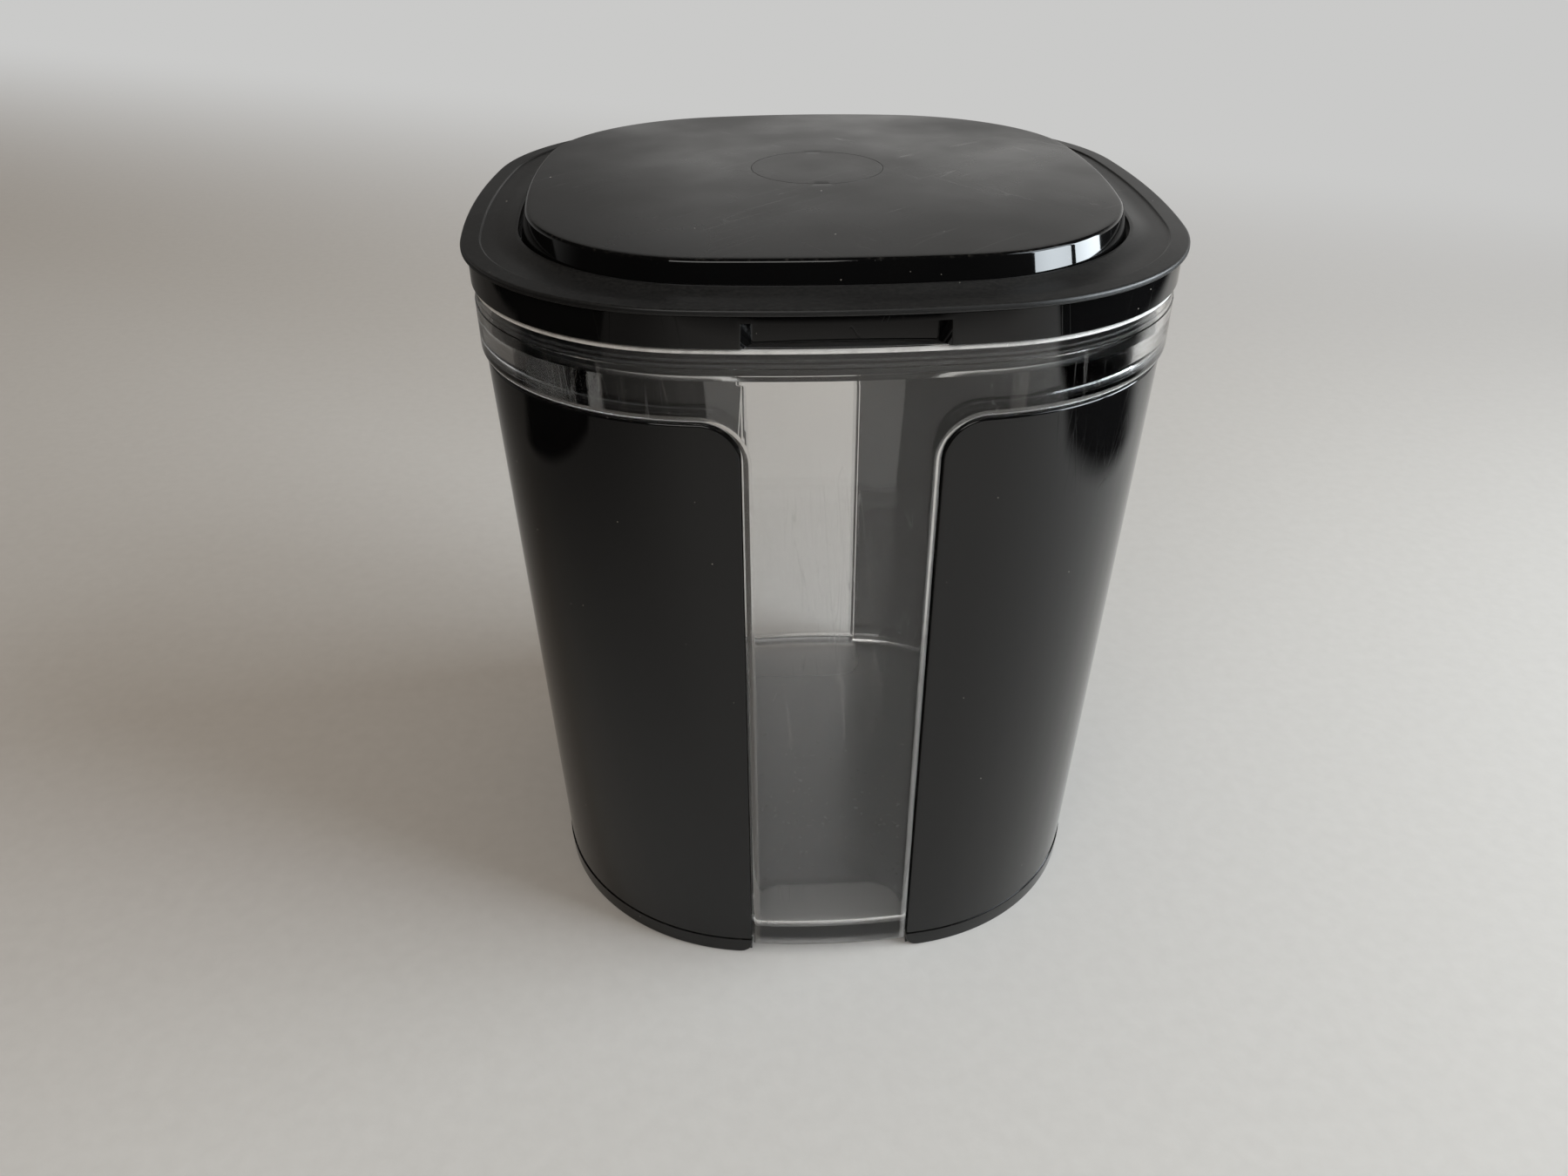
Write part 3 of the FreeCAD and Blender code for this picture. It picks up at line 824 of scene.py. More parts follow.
@dataclass(frozen=True)
class Specks:
    """Dust specks.

    Attributes:
        spacing: the mean distance between the places where a speck may lie.
        size: a speck's radius.
        empty: the share of places that stay empty.
        core_share: the share of a speck's radius from which it fades out.
        thin_share: the share of places whose specks are faint.
    """

    spacing: float
    size: float
    empty: float
    core_share: float = 0.4
    thin_share: float = 0.02

    def draw(self, mix: Recipe) -> Level:
        """Returns 1 on a speck and 0 beside it."""
        cells = mix.node("ShaderNodeTexVoronoi", inputs={"Vector": mix.place, "Scale": 1 / self.spacing})
        core, rim = self.core_share * self.size / self.spacing, self.size / self.spacing
        near = 1.0 - Level(mix, cells.outputs["Distance"]).fade(core, rim)
        chance = mix.level("ShaderNodeSeparateColor", inputs={"Color": cells.outputs["Color"]})
        return near * chance.fade(self.empty, self.empty + self.thin_share)


@dataclass(frozen=True)
class DarkPlastic:
    """Dark plastic: a slight relief, rub marks, fine scratches, specks of dust and dust that has settled.

    A reach is a pair of a pattern's values: where a change starts and where it is full. Without one, the
    change follows the pattern as it is. What ends in rough is added to the roughness of fresh plastic.
    """

    name: str
    colour: Triple = (0.0018, 0.0018, 0.002)
    worn: Triple = (0.0042, 0.0041, 0.004)
    dust: Triple = (0.30, 0.28, 0.25)
    roughness: float = 0.03
    rub_rough: float = 0.05
    line_rough: float = 0.12
    dust_rough: float = 0.4
    rubs: Noise = Noise(26.0, 3.0, (0.3, 0.2, 0.5), (1.0, 2.2, 1.0))
    worn_reach: Pair | None = None
    rough_reach: Pair = (0.35, 0.8)
    lines: tuple[Scratches, ...] = (
        Scratches((0.0, 1.45, 0.3), 0.012, 0.5), Scratches((0.0, 1.75, 1.1), 0.010, 0.53))
    line_depth: float = 0.004 * MM
    specks: tuple[Specks, ...] = (Specks(3.1 * MM, 0.17 * MM, 0.80),)
    settled: Noise = Noise(900.0, 3.0, reach=(0.5, 0.85))
    dusty: float = 0.12
    flat_reach: Pair = (0.25, 0.9)
    relief: Noise = Noise(75.0, 1.0)
    relief_rise: float = 0.012 * MM
    ior: float = 1.47

    def make(self) -> bpy.types.Material:
        """Returns the material."""
        mix = Recipe(self.name)
        rubs = self.rubs.draw(mix)
        # On the lid's top, whose worn tone is set much lighter, this rub tone is partly painted sheen.
        worn = rubs.fade(*self.worn_reach) if self.worn_reach else rubs
        rubbed = rubs.fade(*self.rough_reach) * self.rub_rough
        lines = mix.strongest(self.lines)
        settled = mix.facing().fade(*self.flat_reach) * self.settled.draw(mix) * self.dusty
        dusty = mix.strongest(self.specks).most(settled)
        relief = mix.bump(self.relief.draw(mix), self.relief_rise)
        return mix.finish(mix.plastic({
            "Base Color": mix.blend(dusty, mix.blend(worn, self.colour, self.worn), self.dust),
            "Roughness": self.roughness + rubbed + lines * self.line_rough + dusty * self.dust_rough,
            "IOR": self.ior,
            "Normal": mix.bump(1.0 - lines, self.line_depth, relief),
        }))


GLOSS = DarkPlastic("gloss")
SATIN = DarkPlastic(
    "satin", colour=(0.0055, 0.0055, 0.0056), worn=(0.0095, 0.0094, 0.0092), dust=(0.60, 0.58, 0.55),
    roughness=0.36, rub_rough=0.1, line_rough=-0.08, dust_rough=0.3,
    rubs=Noise(19.0, 4.0), worn_reach=(0.3, 0.75), rough_reach=(0.3, 0.8),
    lines=(Scratches((0.0, 0.0, 0.7), 0.008, 0.53), Scratches((0.0, 0.0, 2.2), 0.007, 0.56)),
    line_depth=0.003 * MM, specks=(Specks(4.3 * MM, 0.16 * MM, 0.72), Specks(9.7 * MM, 0.27 * MM, 0.8)),
    settled=Noise(1500.0, reach=(0.2, 0.9)), relief=Noise(2600.0, 1.0), relief_rise=0.006 * MM)


@dataclass(frozen=True)
class ClearPlastic:
    """Clear plastic, slightly grey, under a haze of smears, scratches, specks of dust and scuffs.

    A reach is a pair of a pattern's values: where a change starts and where it is full. What ends in rough
    is added to a roughness, and what ends in share is how much of the haze a mark has.
    """

    name: str
    colour: Triple = (0.98, 0.977, 0.973)
    smeared: Triple = (0.94, 0.937, 0.93)
    dust: Triple = (0.5, 0.49, 0.47)
    light_dust: Triple = (0.62, 0.6, 0.57)
    haze_tones: Noise = Noise(800.0)
    haze_rough: float = 0.7
    roughness: float = 0.008
    frost: float = 0.2
    level_reach: Pair = (0.5, 0.95)
    smears: Noise = Noise(30.0, 3.0, (0.1, 0.3, 0.2), (1.0, 1.0, 0.4))
    tint_reach: Pair = (0.4, 0.9)
    film_reach: Pair = (0.5, 0.9)
    film_rough: float = 0.015
    film_share: float = 0.01
    lines: tuple[Scratches, ...] = (
        Scratches((0.0, 1.5, 0.2), 0.010, 0.52), Scratches((0.0, 1.7, 1.5), 0.008, 0.55))
    line_rough: float = 0.1
    line_share: float = 0.1
    specks: Specks = Specks(4.7 * MM, 0.14 * MM, 0.88)
    speck_rough: float = 0.2
    speck_rise: float = 0.01 * MM
    speck_share: float = 0.5
    scuffs: Noise = Noise(420.0, 3.0, reach=(-0.3, 0.6))
    scuffed: float = 0.0
    waves: Noise = Noise(40.0, 0.0)
    wave_rise: float = 0.002 * MM
    ior: float = 1.49

    def make(self) -> bpy.types.Material:
        """Returns the material."""
        mix = Recipe(self.name)
        smears, specks = self.smears.draw(mix), self.specks.draw(mix)
        film = smears.fade(*self.film_reach)
        level = abs(mix.facing()).fade(*self.level_reach)
        lines = mix.strongest(self.lines) * (1.0 - level)
        worn = lines * self.line_rough + level * self.frost
        clear = mix.plastic({
            "Base Color": mix.blend(smears.fade(*self.tint_reach), self.colour, self.smeared),
            "Roughness": self.roughness + film * self.film_rough + worn,
            "IOR": self.ior,
            "Transmission Weight": 1.0,
            "Normal": mix.bump(self.waves.draw(mix), self.wave_rise),
        })
        haze = mix.plastic({
            "Base Color": mix.blend(self.haze_tones.draw(mix), self.dust, self.light_dust),
            "Roughness": self.haze_rough + specks * self.speck_rough,
            "Normal": mix.bump(specks, self.speck_rise),
        })
        marks = (specks * self.speck_share).most(lines * self.line_share)
        # Where scuffed is set high, on the rim and the skin's rounded edges, the scuff haze is partly painted
        # highlight.
        share = marks + film * self.film_share + self.scuffed * self.scuffs.draw(mix)
        return mix.finish(mix.mixed(share, clear, haze))


@dataclass(frozen=True)
class PaleFloor:
    """The pale floor: a matt surface with a faint grain that goes over into the pale background behind.

    In reflections it shows a painted reflection of a table in a dim room, whose room is a near-black glow.
    The table's sides spread toward its front, painted shade darkens it to the left, and behind the box it
    goes over into the lit floor. What ends in soft is how soft an edge is.
    """

    name: str = "pale_floor"
    colour: Triple = (0.60, 0.59, 0.572)
    light: Triple = (0.66, 0.65, 0.632)
    grain: Noise = Noise(240.0, 3.0)
    grain_rough: float = 0.15
    grain_rise: float = 0.05 * MM
    roughness: float = 0.75
    far: Triple = (0.59, 0.59, 0.583)
    # room: the near-black glow of the painted room reflection, which glossy rays see off the table.
    room: Triple = (0.004, 0.004, 0.004)
    far_reach: Pair = (0.25, 0.95)
    far_slant: float = 0.55
    table_half: float = 0.262
    slant_start: float = 0.15
    slant: float = 0.6
    side_reach: float = 0.45
    table_front: float = 0.45
    table_back: float = 0.04
    side_soft: float = 0.035
    front_soft: float = 0.14
    back_soft: float = 0.1
    # The painted shade that darkens the table to the left in reflections.
    painted_shade_reach: Pair = (-0.05, 0.35)
    painted_shade_share: float = 0.75

    def make(self) -> bpy.types.Material:
        """Returns the material."""
        mix = Recipe(self.name)
        grain = self.grain.draw(mix)
        cloth = mix.plastic({
            "Base Color": mix.blend(grain, self.colour, self.light),
            "Roughness": self.roughness + grain * self.grain_rough,
            "Normal": mix.bump(grain, self.grain_rise),
        })
        across, along, _ = mix.parts(mix.place)
        mirrored = Level(mix, mix.node("ShaderNodeLightPath").outputs["Is Glossy Ray"])
        behind = (along + across * self.far_slant).fade(*self.far_reach) * (1.0 - mirrored)
        slanted = abs(across) - (0.0 - along).most(self.slant_start) * self.slant
        edge = self.table_half - self.slant_start * self.slant
        beside = slanted.fade(edge, edge + self.side_soft)
        distant = abs(across).fade(self.side_reach, self.side_reach + 2 * self.side_soft)
        before = (0.0 - along).fade(self.table_front, self.table_front + self.front_soft)
        backed = along.fade(self.table_back, self.table_back + self.back_soft)
        painted_left_shade = (0.0 - across).fade(*self.painted_shade_reach) * self.painted_shade_share
        # Glossy rays off the table see painted dark reflection, and to the left painted shade, instead of the
        # cloth.
        painted_dark_reflection = (beside.most(before) * (1.0 - backed)).most(distant).most(painted_left_shade) * mirrored
        backdrop_and_painted_room = mix.glow("ShaderNodeEmission", mix.blend(mirrored, self.far, self.room))
        return mix.finish(mix.mixed(behind.most(painted_dark_reflection), cloth, backdrop_and_painted_room))


def install(piece: bpy.types.Object, node: str, body: str, slot: str, *materials: bpy.types.Material) -> None:
    """Puts a finished piece in its node's place.

    Args:
        piece: the finished piece.
        node: the node that it replaces.
        body: the body that carries it.
        slot: not used.
        materials: its materials, in the order of its faces' numbers.
    """
    for material in materials:
        piece.data.materials.append(material)
    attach(piece, body)
    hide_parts(node)
    log.info("%s replaces %s: %d faces", piece.name, node, len(piece.data.polygons))


@dataclass
class Jacket:
    """The glossy black jacket: two cheeks on a base plate, with a window slot between them."""

    wall: float = 2.2 * MM
    edge: float = 0.5 * MM
    inner_edge: float = 0.25 * MM
    foot_corner: float = 3.0 * MM
    foot_band: float = 4.4 * MM
    foot_proud: float = 0.25 * MM
    ledge_round: float = 0.12 * MM
    step_rise: float = 0.06 * MM
    rim_width: float = 3.4 * MM
    rim_inset: float = 1.0 * MM
    rim_edge: float = 0.3 * MM
    base_lift: float = 0.7 * MM
    base_top: float = 2.7 * MM
    notch_back: float = 44.5 * MM
    notch_corner: float = 8.0 * MM
    notch_ease: float = 0.02 * MM
    finish: DarkPlastic = replace(GLOSS, name="jacket_gloss")

    def build(self) -> bpy.types.Object:
        """Returns the finished piece."""
        cheeks = self._cheeks()
        cheeks.join(self._base())
        return cheeks.finish()

    def _cheeks(self) -> Workpiece:
        """Returns the two cheeks, cut from flat patterns and wrapped round the box."""
        start, end = SHAPE.window_half, SHAPE.back_middle - SHAPE.window_half
        work = Workpiece("jacket_cradle").block((start, 0.0, -self.wall), (end, SHAPE.jacket_top, 0.0))
        side = either(at(Axis.ALONG, start), at(Axis.ALONG, end))
        work.bevel(every(side, at(Axis.UP, SHAPE.jacket_top)), SHAPE.window_corner, Steps.CORNER)
        work.bevel(every(side, at(Axis.UP, 0.0)), self.foot_corner, Steps.EDGE)
        step_low, step_high = self.foot_band - self.step_rise, self.foot_band + self.step_rise
        work.slice(Axis.UP, [step_low, step_high])
        outside, band = at(Axis.OUT, 0.0), at(Axis.OUT, self.foot_proud)
        work.bevel(every(outside, over(Axis.UP, step_high)), self.edge, Steps.EDGE)
        work.bevel(at(Axis.OUT, -self.wall), self.inner_edge, Steps.HAIRLINE)
        work.shift(every(outside, under(Axis.UP, step_low)), (0.0, 0.0, self.foot_proud))
        work.bevel(every(band, under(Axis.UP, self.foot_corner)), self.edge, Steps.SMALL)
        work.bevel(every(band, at(Axis.UP, step_low)), self.ledge_round, Steps.HAIRLINE)
        work.divide(start, end, SHAPE.jacket_top)
        work.twin()
        work.place(Wrap())
        return work

    def _base(self) -> Workpiece:
        """Returns the base plate on its foot rim, with a notch under each window."""
        inner = SHAPE.foot.inset(self.rim_width)
        outer = SHAPE.foot.inset(self.rim_inset)
        work = Loft([
            Station(inner, self.base_lift),
            Station(inner, 0.0, self.rim_edge),
            Station(outer, 0.0, self.rim_edge),
            Station(outer, self.base_top),
        ]).build("jacket_base")
        half = SHAPE.window_half + self.notch_ease
        for facing in (-1.0, 1.0):
            inmost, outmost = facing * self.notch_back, facing * SHAPE.ring.half
            near, far = sorted((inmost, outmost))
            notch = Workpiece("notch").block((-half, near, -self.base_top), (half, far, 2 * self.base_top))
            upright = every(at(Axis.Y, inmost), spanning(Axis.Z, self.base_top))
            notch.bevel(upright, self.notch_corner, Steps.NOTCH)
            work.carve(notch)
        return work

    def dress(self) -> None:
        """Builds the jacket and puts it in place."""
        install(self.build(), "outer_jacket", "jacket", "jacket_gloss", self.finish.make())


@dataclass
class ClearBin:
    """The clear bin: a vessel whose collar and two window pads are one raised skin with a rounded edge."""

    depth: float = 2.5 * MM
    wall: float = 2.0 * MM
    collar_wall: float = 2.2 * MM
    floor_top: float = 5.3 * MM
    floor_round: float = 4.9 * MM
    floor_reach: float = 5.0 * MM
    foot_edge: float = 0.6 * MM
    ledge: float = 144.5 * MM
    shelf_low: float = 152.3 * MM
    shelf_high: float = 152.6 * MM
    skin_round: float = 1.7 * MM
    rim_band: float = 3.5 * MM
    rim_step: float = 0.2 * MM
    step_rise: float = 0.08 * MM
    rim_round: float = 0.7 * MM
    finish: ClearPlastic = ClearPlastic("clear_shell")
    # The rounded skin edge's haze is partly real scuffing and partly painted highlight: its whitish share
    # widens the light line along the window's edges.
    edge_scuff_and_highlight: ClearPlastic = ClearPlastic("clear_edge_scuff_and_highlight", roughness=0.12, scuffed=0.14)
    # The rim's whitish haze is partly real scuffing and partly a painted highlight: it paints the bright line
    # along the rim's top edge.
    rim_scuff_and_highlight: ClearPlastic = ClearPlastic(
        "clear_rim_scuff_and_highlight", roughness=0.2, light_dust=(0.85, 0.84, 0.82), dust=(0.75, 0.74, 0.72), scuffed=0.7)

    def build(self) -> bpy.types.Object:
        """Returns the finished piece."""
        end, proud = SHAPE.back_middle, SHAPE.proud
        inside = -(self.depth + self.wall)
        work = Workpiece("bin_vessel").block((-end, SHAPE.bin_low, inside), (end, SHAPE.rim, proud))
        band_low = SHAPE.rim - self.rim_band - self.step_rise
        band_high = band_low + 2 * self.step_rise
        work.slice(Axis.UP, [self.floor_top, self.shelf_low, self.shelf_high, band_low, band_high])
        collar_shift = proud - self.collar_wall - inside
        work.shift(every(at(Axis.OUT, inside), over(Axis.UP, self.shelf_high)), (0.0, 0.0, collar_shift))
        work.shift(every(at(Axis.OUT, proud), over(Axis.UP, band_high)), (0.0, 0.0, -self.rim_step))
        foot = every(at(Axis.OUT, inside), under(Axis.UP, self.floor_top))
        work.draw_out(foot, (0.0, 0.0, -self.floor_reach))
        work.carve(self._cheek_space())
        ends = (at(Axis.ALONG, -end), at(Axis.ALONG, end))
        skin_edge = every(at(Axis.OUT, proud), under(Axis.UP, self.ledge), neither(*ends))
        floor_edge = every(at(Axis.OUT, inside), at(Axis.UP, self.floor_top))
        foot_edge = every(at(Axis.OUT, -self.depth), at(Axis.UP, SHAPE.bin_low))
        work.bevel(skin_edge, self.skin_round, Steps.WIDE, Coat.EDGE)
        work.bevel(every(at(Axis.UP, SHAPE.rim), neither(*ends)), self.rim_round, Steps.EDGE, Coat.RIM)
        work.bevel(floor_edge, self.floor_round, Steps.WIDE)
        work.bevel(foot_edge, self.foot_edge, Steps.SMALL)
        work.delete(either(*ends, at(Axis.OUT, inside - self.floor_reach)))
        work.divide(-end, end, self.ledge)
        work.place(Wrap())
        work.weld()
        for height in (SHAPE.bin_low, self.floor_top):
            work.close(at(Axis.Z, height))
        return work.finish()

    def _cheek_space(self) -> Workpiece:
        """Returns the flat solids of the two places where the jacket's cheeks lie."""
        start = SHAPE.window_half - SHAPE.fit_gap
        end = SHAPE.back_middle - start
        low, high = (start, -self.ledge, -self.depth), (end, self.ledge, self.ledge)
        work = Workpiece("cheek_space").block(low, high)
        side = either(at(Axis.ALONG, start), at(Axis.ALONG, end))
        work.bevel(every(side, at(Axis.UP, self.ledge)), SHAPE.window_corner + SHAPE.fit_gap, Steps.CORNER)
        work.twin()
        return work

    def dress(self) -> None:
        """Builds the bin and puts it in place."""
        finishes = [finish.make() for finish in (self.finish, self.edge_scuff_and_highlight, self.rim_scuff_and_highlight)]
        install(self.build(), "clear_bin", "bin", "clear_shell", *finishes)


@dataclass
class Lid:
    """The push-in lid: a glossy frame with a soft ring, a raised plate with its disc, a plug and a seal."""

    deck: float = 2.0 * MM
    hollow: float = 6.4 * MM
    frame_edge: float = 0.5 * MM
    low_edge: float = 0.2 * MM
    recess_half: float = 19.2 * MM
    recess_back_half: float = 16.7 * MM
    recess_depth: float = 3.6 * MM
    recess_roof: float = 1.65 * MM
    recess_edge: float = 0.3 * MM
    ring_edge: float = 1.15 * MM
    ring_rise: float = 0.15 * MM
    ring_dip: float = 0.3 * MM
    ring_band: float = 3.9 * MM
    ring_bead: float = 0.55 * MM
    parting: float = 0.35 * MM
    parting_depth: float = 0.1 * MM
    lip_gap: float = 0.4 * MM
    lip_wall: float = 0.7 * MM
    lip_slope: float = 3.0 * MM
    lip_height: float = 0.75 * MM
    cap_draft: float = 1.3 * MM
    cap_crown: float = 1.2 * MM
    cap_wall: float = 2.2 * MM
    cap_edge: float = 0.8 * MM
    disc_radius: float = 14.5 * MM
    disc_gap: float = 0.07 * MM
    disc_edge: float = 0.07 * MM
    disc_thickness: float = 1.1 * MM
    small_edge: float = 0.15 * MM
    plug_inset: float = 5.2 * MM
    tongue_inset: float = 7.8 * MM
    tongue_wall: float = 1.8 * MM
    tongue_rise: float = 4.25 * MM
    plug_floor: float = 1.8 * MM
    plug_round: float = 1.0 * MM
    groove_low: float = 154.2 * MM
    groove_height: float = 3.2 * MM
    groove_depth: float = 1.3 * MM
    seal_seat: float = 0.1 * MM
    seal_back: float = 0.9 * MM
    fin_height: float = 0.6 * MM
    fin_inset: float = 4.0 * MM
    fin_shares: Sequence[float] = (1 / 3, 2 / 3)
    crown_shares: Sequence[float] = (0.0, 0.06, 0.15, 0.3, 0.5, 0.7, 0.85, 0.95)
    disc_shares: Sequence[float] = (0.8, 0.5, 0.25, 0.05)
    top_facing: float = 0.98
    gloss: DarkPlastic = replace(GLOSS, name="lid_gloss")
    soft: DarkPlastic = replace(
        SATIN, name="soft_ring", colour=(0.009, 0.009, 0.009), worn=(0.015, 0.0148, 0.0145), dusty=0.03)
    # The top's worn tone, much lighter than the satin's, is partly real rub marks and partly painted sheen:
    # its light patches stand in for the cloudy reflection on the satin top. The disc takes it over.
    top: DarkPlastic = replace(
        SATIN, name="top_satin", worn=(0.028, 0.0278, 0.027), roughness=0.22, rub_rough=0.2, dusty=0.02,
        relief_rise=0.002 * MM)
    inlay: DarkPlastic = replace(top, name="disc_satin", roughness=0.23)
    tray: DarkPlastic = replace(
        SATIN, name="plug_plastic", colour=(0.012, 0.012, 0.012), roughness=0.4, relief_rise=0.0002 * MM)
    seal: DarkPlastic = replace(
        tray, name="seal_silicone", colour=(0.03, 0.03, 0.031), worn=(0.045, 0.045, 0.045), roughness=0.55)

    @property
    def crown_radius(self) -> float:
        """The radius of the crown, which drops by its rise over the middle of a side."""
        reach = SHAPE.cap.half - self.cap_draft
        return (reach**2 + self.cap_crown**2) / (2 * self.cap_crown)

    def frame(self) -> bpy.types.Object:
        """Returns the skirt under its deck, with the finger recess in the front."""
        inner = SHAPE.ring.inset(SHAPE.overhang + self.hollow)
        work = Loft([
            Station(inner, SHAPE.frame_top - self.deck),
            Station(inner, SHAPE.frame_low),
            Station(SHAPE.skirt, SHAPE.frame_low, self.low_edge),
            Station(SHAPE.skirt, SHAPE.frame_top, self.frame_edge),
            Station(SHAPE.skirt.inset(2 * self.hollow), SHAPE.frame_top),
        ]).build("lid_skirt")
        mouth = -SHAPE.skirt.half
        back = mouth + self.recess_depth
        flare = self.recess_half - self.recess_back_half
        wide = self.recess_half + flare
        low = (-wide, mouth - self.recess_depth, SHAPE.frame_low - self.deck)
        high = (wide, back, SHAPE.frame_top - self.recess_roof)
        recess = Workpiece("recess").block(low, high)
        deep, upright = at(Axis.Y, back), spanning(Axis.Z, self.deck)
        recess.shift(every(deep, over(Axis.X, 0.0)), (-2 * flare, 0.0, 0.0))
        recess.shift(every(deep, under(Axis.X, 0.0)), (2 * flare, 0.0, 0.0))
        recess.bevel(every(deep, upright), self.recess_edge, Steps.SMALL)
        work.carve(recess)
        work.bevel(every(upright, under(Axis.Y, back - self.deck)), self.recess_edge, Steps.SMALL)
        return work.finish()

    def ring(self) -> bpy.types.Object:
        """Returns the soft ring: a beaded edge, an outer band, a crease, a flat band and a lip."""
        edge = SHAPE.frame_top + self.ring_edge
        crest = edge + self.ring_rise
        flat = crest - self.ring_dip
        groove = SHAPE.frame_top + self.parting
        band = SHAPE.ring.inset(self.ring_band)
        inside = SHAPE.cap.inset(-self.lip_gap)
        lip = inside.inset(-self.lip_wall)
        return Loft([
            Station(SHAPE.ring, SHAPE.frame_top, self.small_edge),
            Station(SHAPE.ring, groove - self.parting_depth),
            Station(SHAPE.ring.inset(self.parting_depth), groove),
            Station(SHAPE.ring, groove + self.parting_depth),
            Station(SHAPE.ring, edge, self.ring_bead),
            Station(band, crest, self.small_edge),
            Station(band.inset(self.small_edge), flat, self.small_edge),
            Station(lip.inset(-self.lip_slope), flat, 2 * self.lip_wall),
            Station(lip, flat + self.lip_height, self.small_edge),
            Station(inside, flat + self.lip_height, self.small_edge),
            Station(inside, SHAPE.frame_top),
        ]).build("soft_lid_ring", ring=True).finish()

    def plate(self) -> bpy.types.Object:
        """Returns the raised plate: a drafted shell whose satin top is crowned and has a round seat."""
        roof = SHAPE.apex - self.cap_crown - self.cap_wall
        top = SHAPE.cap.inset(self.cap_draft)
        seat = Circle(self.disc_radius + self.disc_gap)
        crowned = [Station(Between(top.inset(2 * self.cap_edge), seat, share), SHAPE.apex, sag=1.0)
                   for share in self.crown_shares]
        piece = Loft([
            Station(top.inset(self.cap_wall), roof),
            Station(SHAPE.cap.inset(self.cap_wall), SHAPE.frame_top),
            Station(SHAPE.cap, SHAPE.frame_top),
            Station(top, SHAPE.apex, self.cap_edge, sag=1.0),
            *crowned,
            Station(seat, SHAPE.apex, self.disc_edge, sag=1.0),
            Station(seat, SHAPE.apex - self.disc_thickness),
        ], self.crown_radius).build("raised_plate").finish()
        for polygon in piece.data.polygons:
            faces_up = polygon.normal.z > self.top_facing
            on_top = faces_up and polygon.center.z > SHAPE.apex - 2 * self.cap_crown
            polygon.material_index = Coat.MAIN if on_top else Coat.EDGE
        return piece

    def disc(self) -> bpy.types.Object:
        """Returns the inlaid disc, whose top goes on with the plate's crown."""
        rim = Circle(self.disc_radius)
        low = SHAPE.apex - self.disc_thickness
        return Loft([
            Station(Circle(self.disc_radius - self.small_edge), low),
            Station(rim, low + self.small_edge),
            Station(rim, SHAPE.apex, self.disc_edge, sag=1.0),
            *(Station(Circle(self.disc_radius * share), SHAPE.apex, sag=1.0) for share in self.disc_shares),
        ], self.crown_radius).build("inlaid_disc").finish()

    def plug(self) -> bpy.types.Object:
        """Returns the tray under the frame, with the seal's groove and the tongue that enters the frame."""
        tray = SHAPE.ring.inset(self.plug_inset)
        tongue = SHAPE.ring.inset(self.tongue_inset)
        hollow = tongue.inset(self.tongue_wall)
        groove = tray.inset(self.groove_depth)
        floor, brim = SHAPE.plug_low + self.plug_floor, SHAPE.frame_low + self.tongue_rise
        return Loft([
            Station(hollow.inset(2 * self.plug_round), floor),
            Station(hollow, floor, self.plug_round),
            Station(hollow, brim, self.small_edge),
            Station(tongue, brim, self.small_edge),
            Station(tongue, SHAPE.frame_low),
            Station(tray, SHAPE.frame_low, self.small_edge),
            Station(tray, self.groove_low + self.groove_height),
            Station(groove, self.groove_low + self.groove_height),
            Station(groove, self.groove_low),
            Station(tray, self.groove_low),
            Station(tray, SHAPE.plug_low, self.plug_round),
            Station(tray.inset(3 * self.plug_round), SHAPE.plug_low),
        ]).build("push_in_plug").finish()

    def seal_ring(self) -> bpy.types.Object:
        """Returns the seal: a back strip in the groove, with two rounded fins."""
        inside = SHAPE.ring.inset(self.plug_inset + self.groove_depth - self.seal_seat)
        strip = inside.inset(-self.seal_back)
        tip = SHAPE.ring.inset(self.fin_inset)
        low = self.groove_low + self.seal_seat
        high = self.groove_low + self.groove_height - self.seal_seat
        fins = []
        for share in self.fin_shares:
            middle = self.groove_low + self.groove_height * share
            below, above = middle - self.fin_height / 2, middle + self.fin_height / 2
            fins += [Station(strip, below), Station(tip, below, self.fin_height / 3),
                     Station(tip, above, self.fin_height / 3), Station(strip, above)]
        return Loft([
            Station(inside, low), Station(strip, low), *fins, Station(strip, high), Station(inside, high),
        ]).build("finned_seal", ring=True).finish()

    def dress(self) -> None:
        """Builds the lid's pieces and puts them in place."""
        gloss = self.gloss.make()
        install(self.frame(), "lid_frame", "lid", "lid_gloss", gloss)
        install(self.ring(), "lid_ring", "lid", "soft_ring", self.soft.make())
        install(self.plate(), "top_plate", "lid", "top_satin", self.top.make(), gloss)
        install(self.disc(), "centre_disc", "lid", "disc_satin", self.inlay.make())
        install(self.plug(), "lid_plug", "lid", "plug_plastic", self.tray.make())
        install(self.seal_ring(), "seal_ring", "lid", "seal_silicone", self.seal.make())


@dataclass(frozen=True)
class Softbox:
    """A soft rectangular lamp."""

    name: str
    place: Triple
    width: float
    height: float
    power: float
    colour: Triple = (1.0, 1.0, 1.0)
    spread: float = math.pi

    def hang(self, target: Vector) -> None:
        """Adds the lamp, turned to its target."""
        data = bpy.data.lights.new(self.name, "AREA")
        data.shape = "RECTANGLE"
        data.size, data.size_y, data.spread = self.width, self.height, self.spread
        data.energy, data.color = self.power, self.colour
        lamp = bpy.data.objects.new(self.name, data)
        bpy.context.scene.collection.objects.link(lamp)
        lamp.location = self.place
        lamp.rotation_euler = (target - lamp.location).to_track_quat("-Z", "Y").to_euler()
        lamp.visible_camera = False


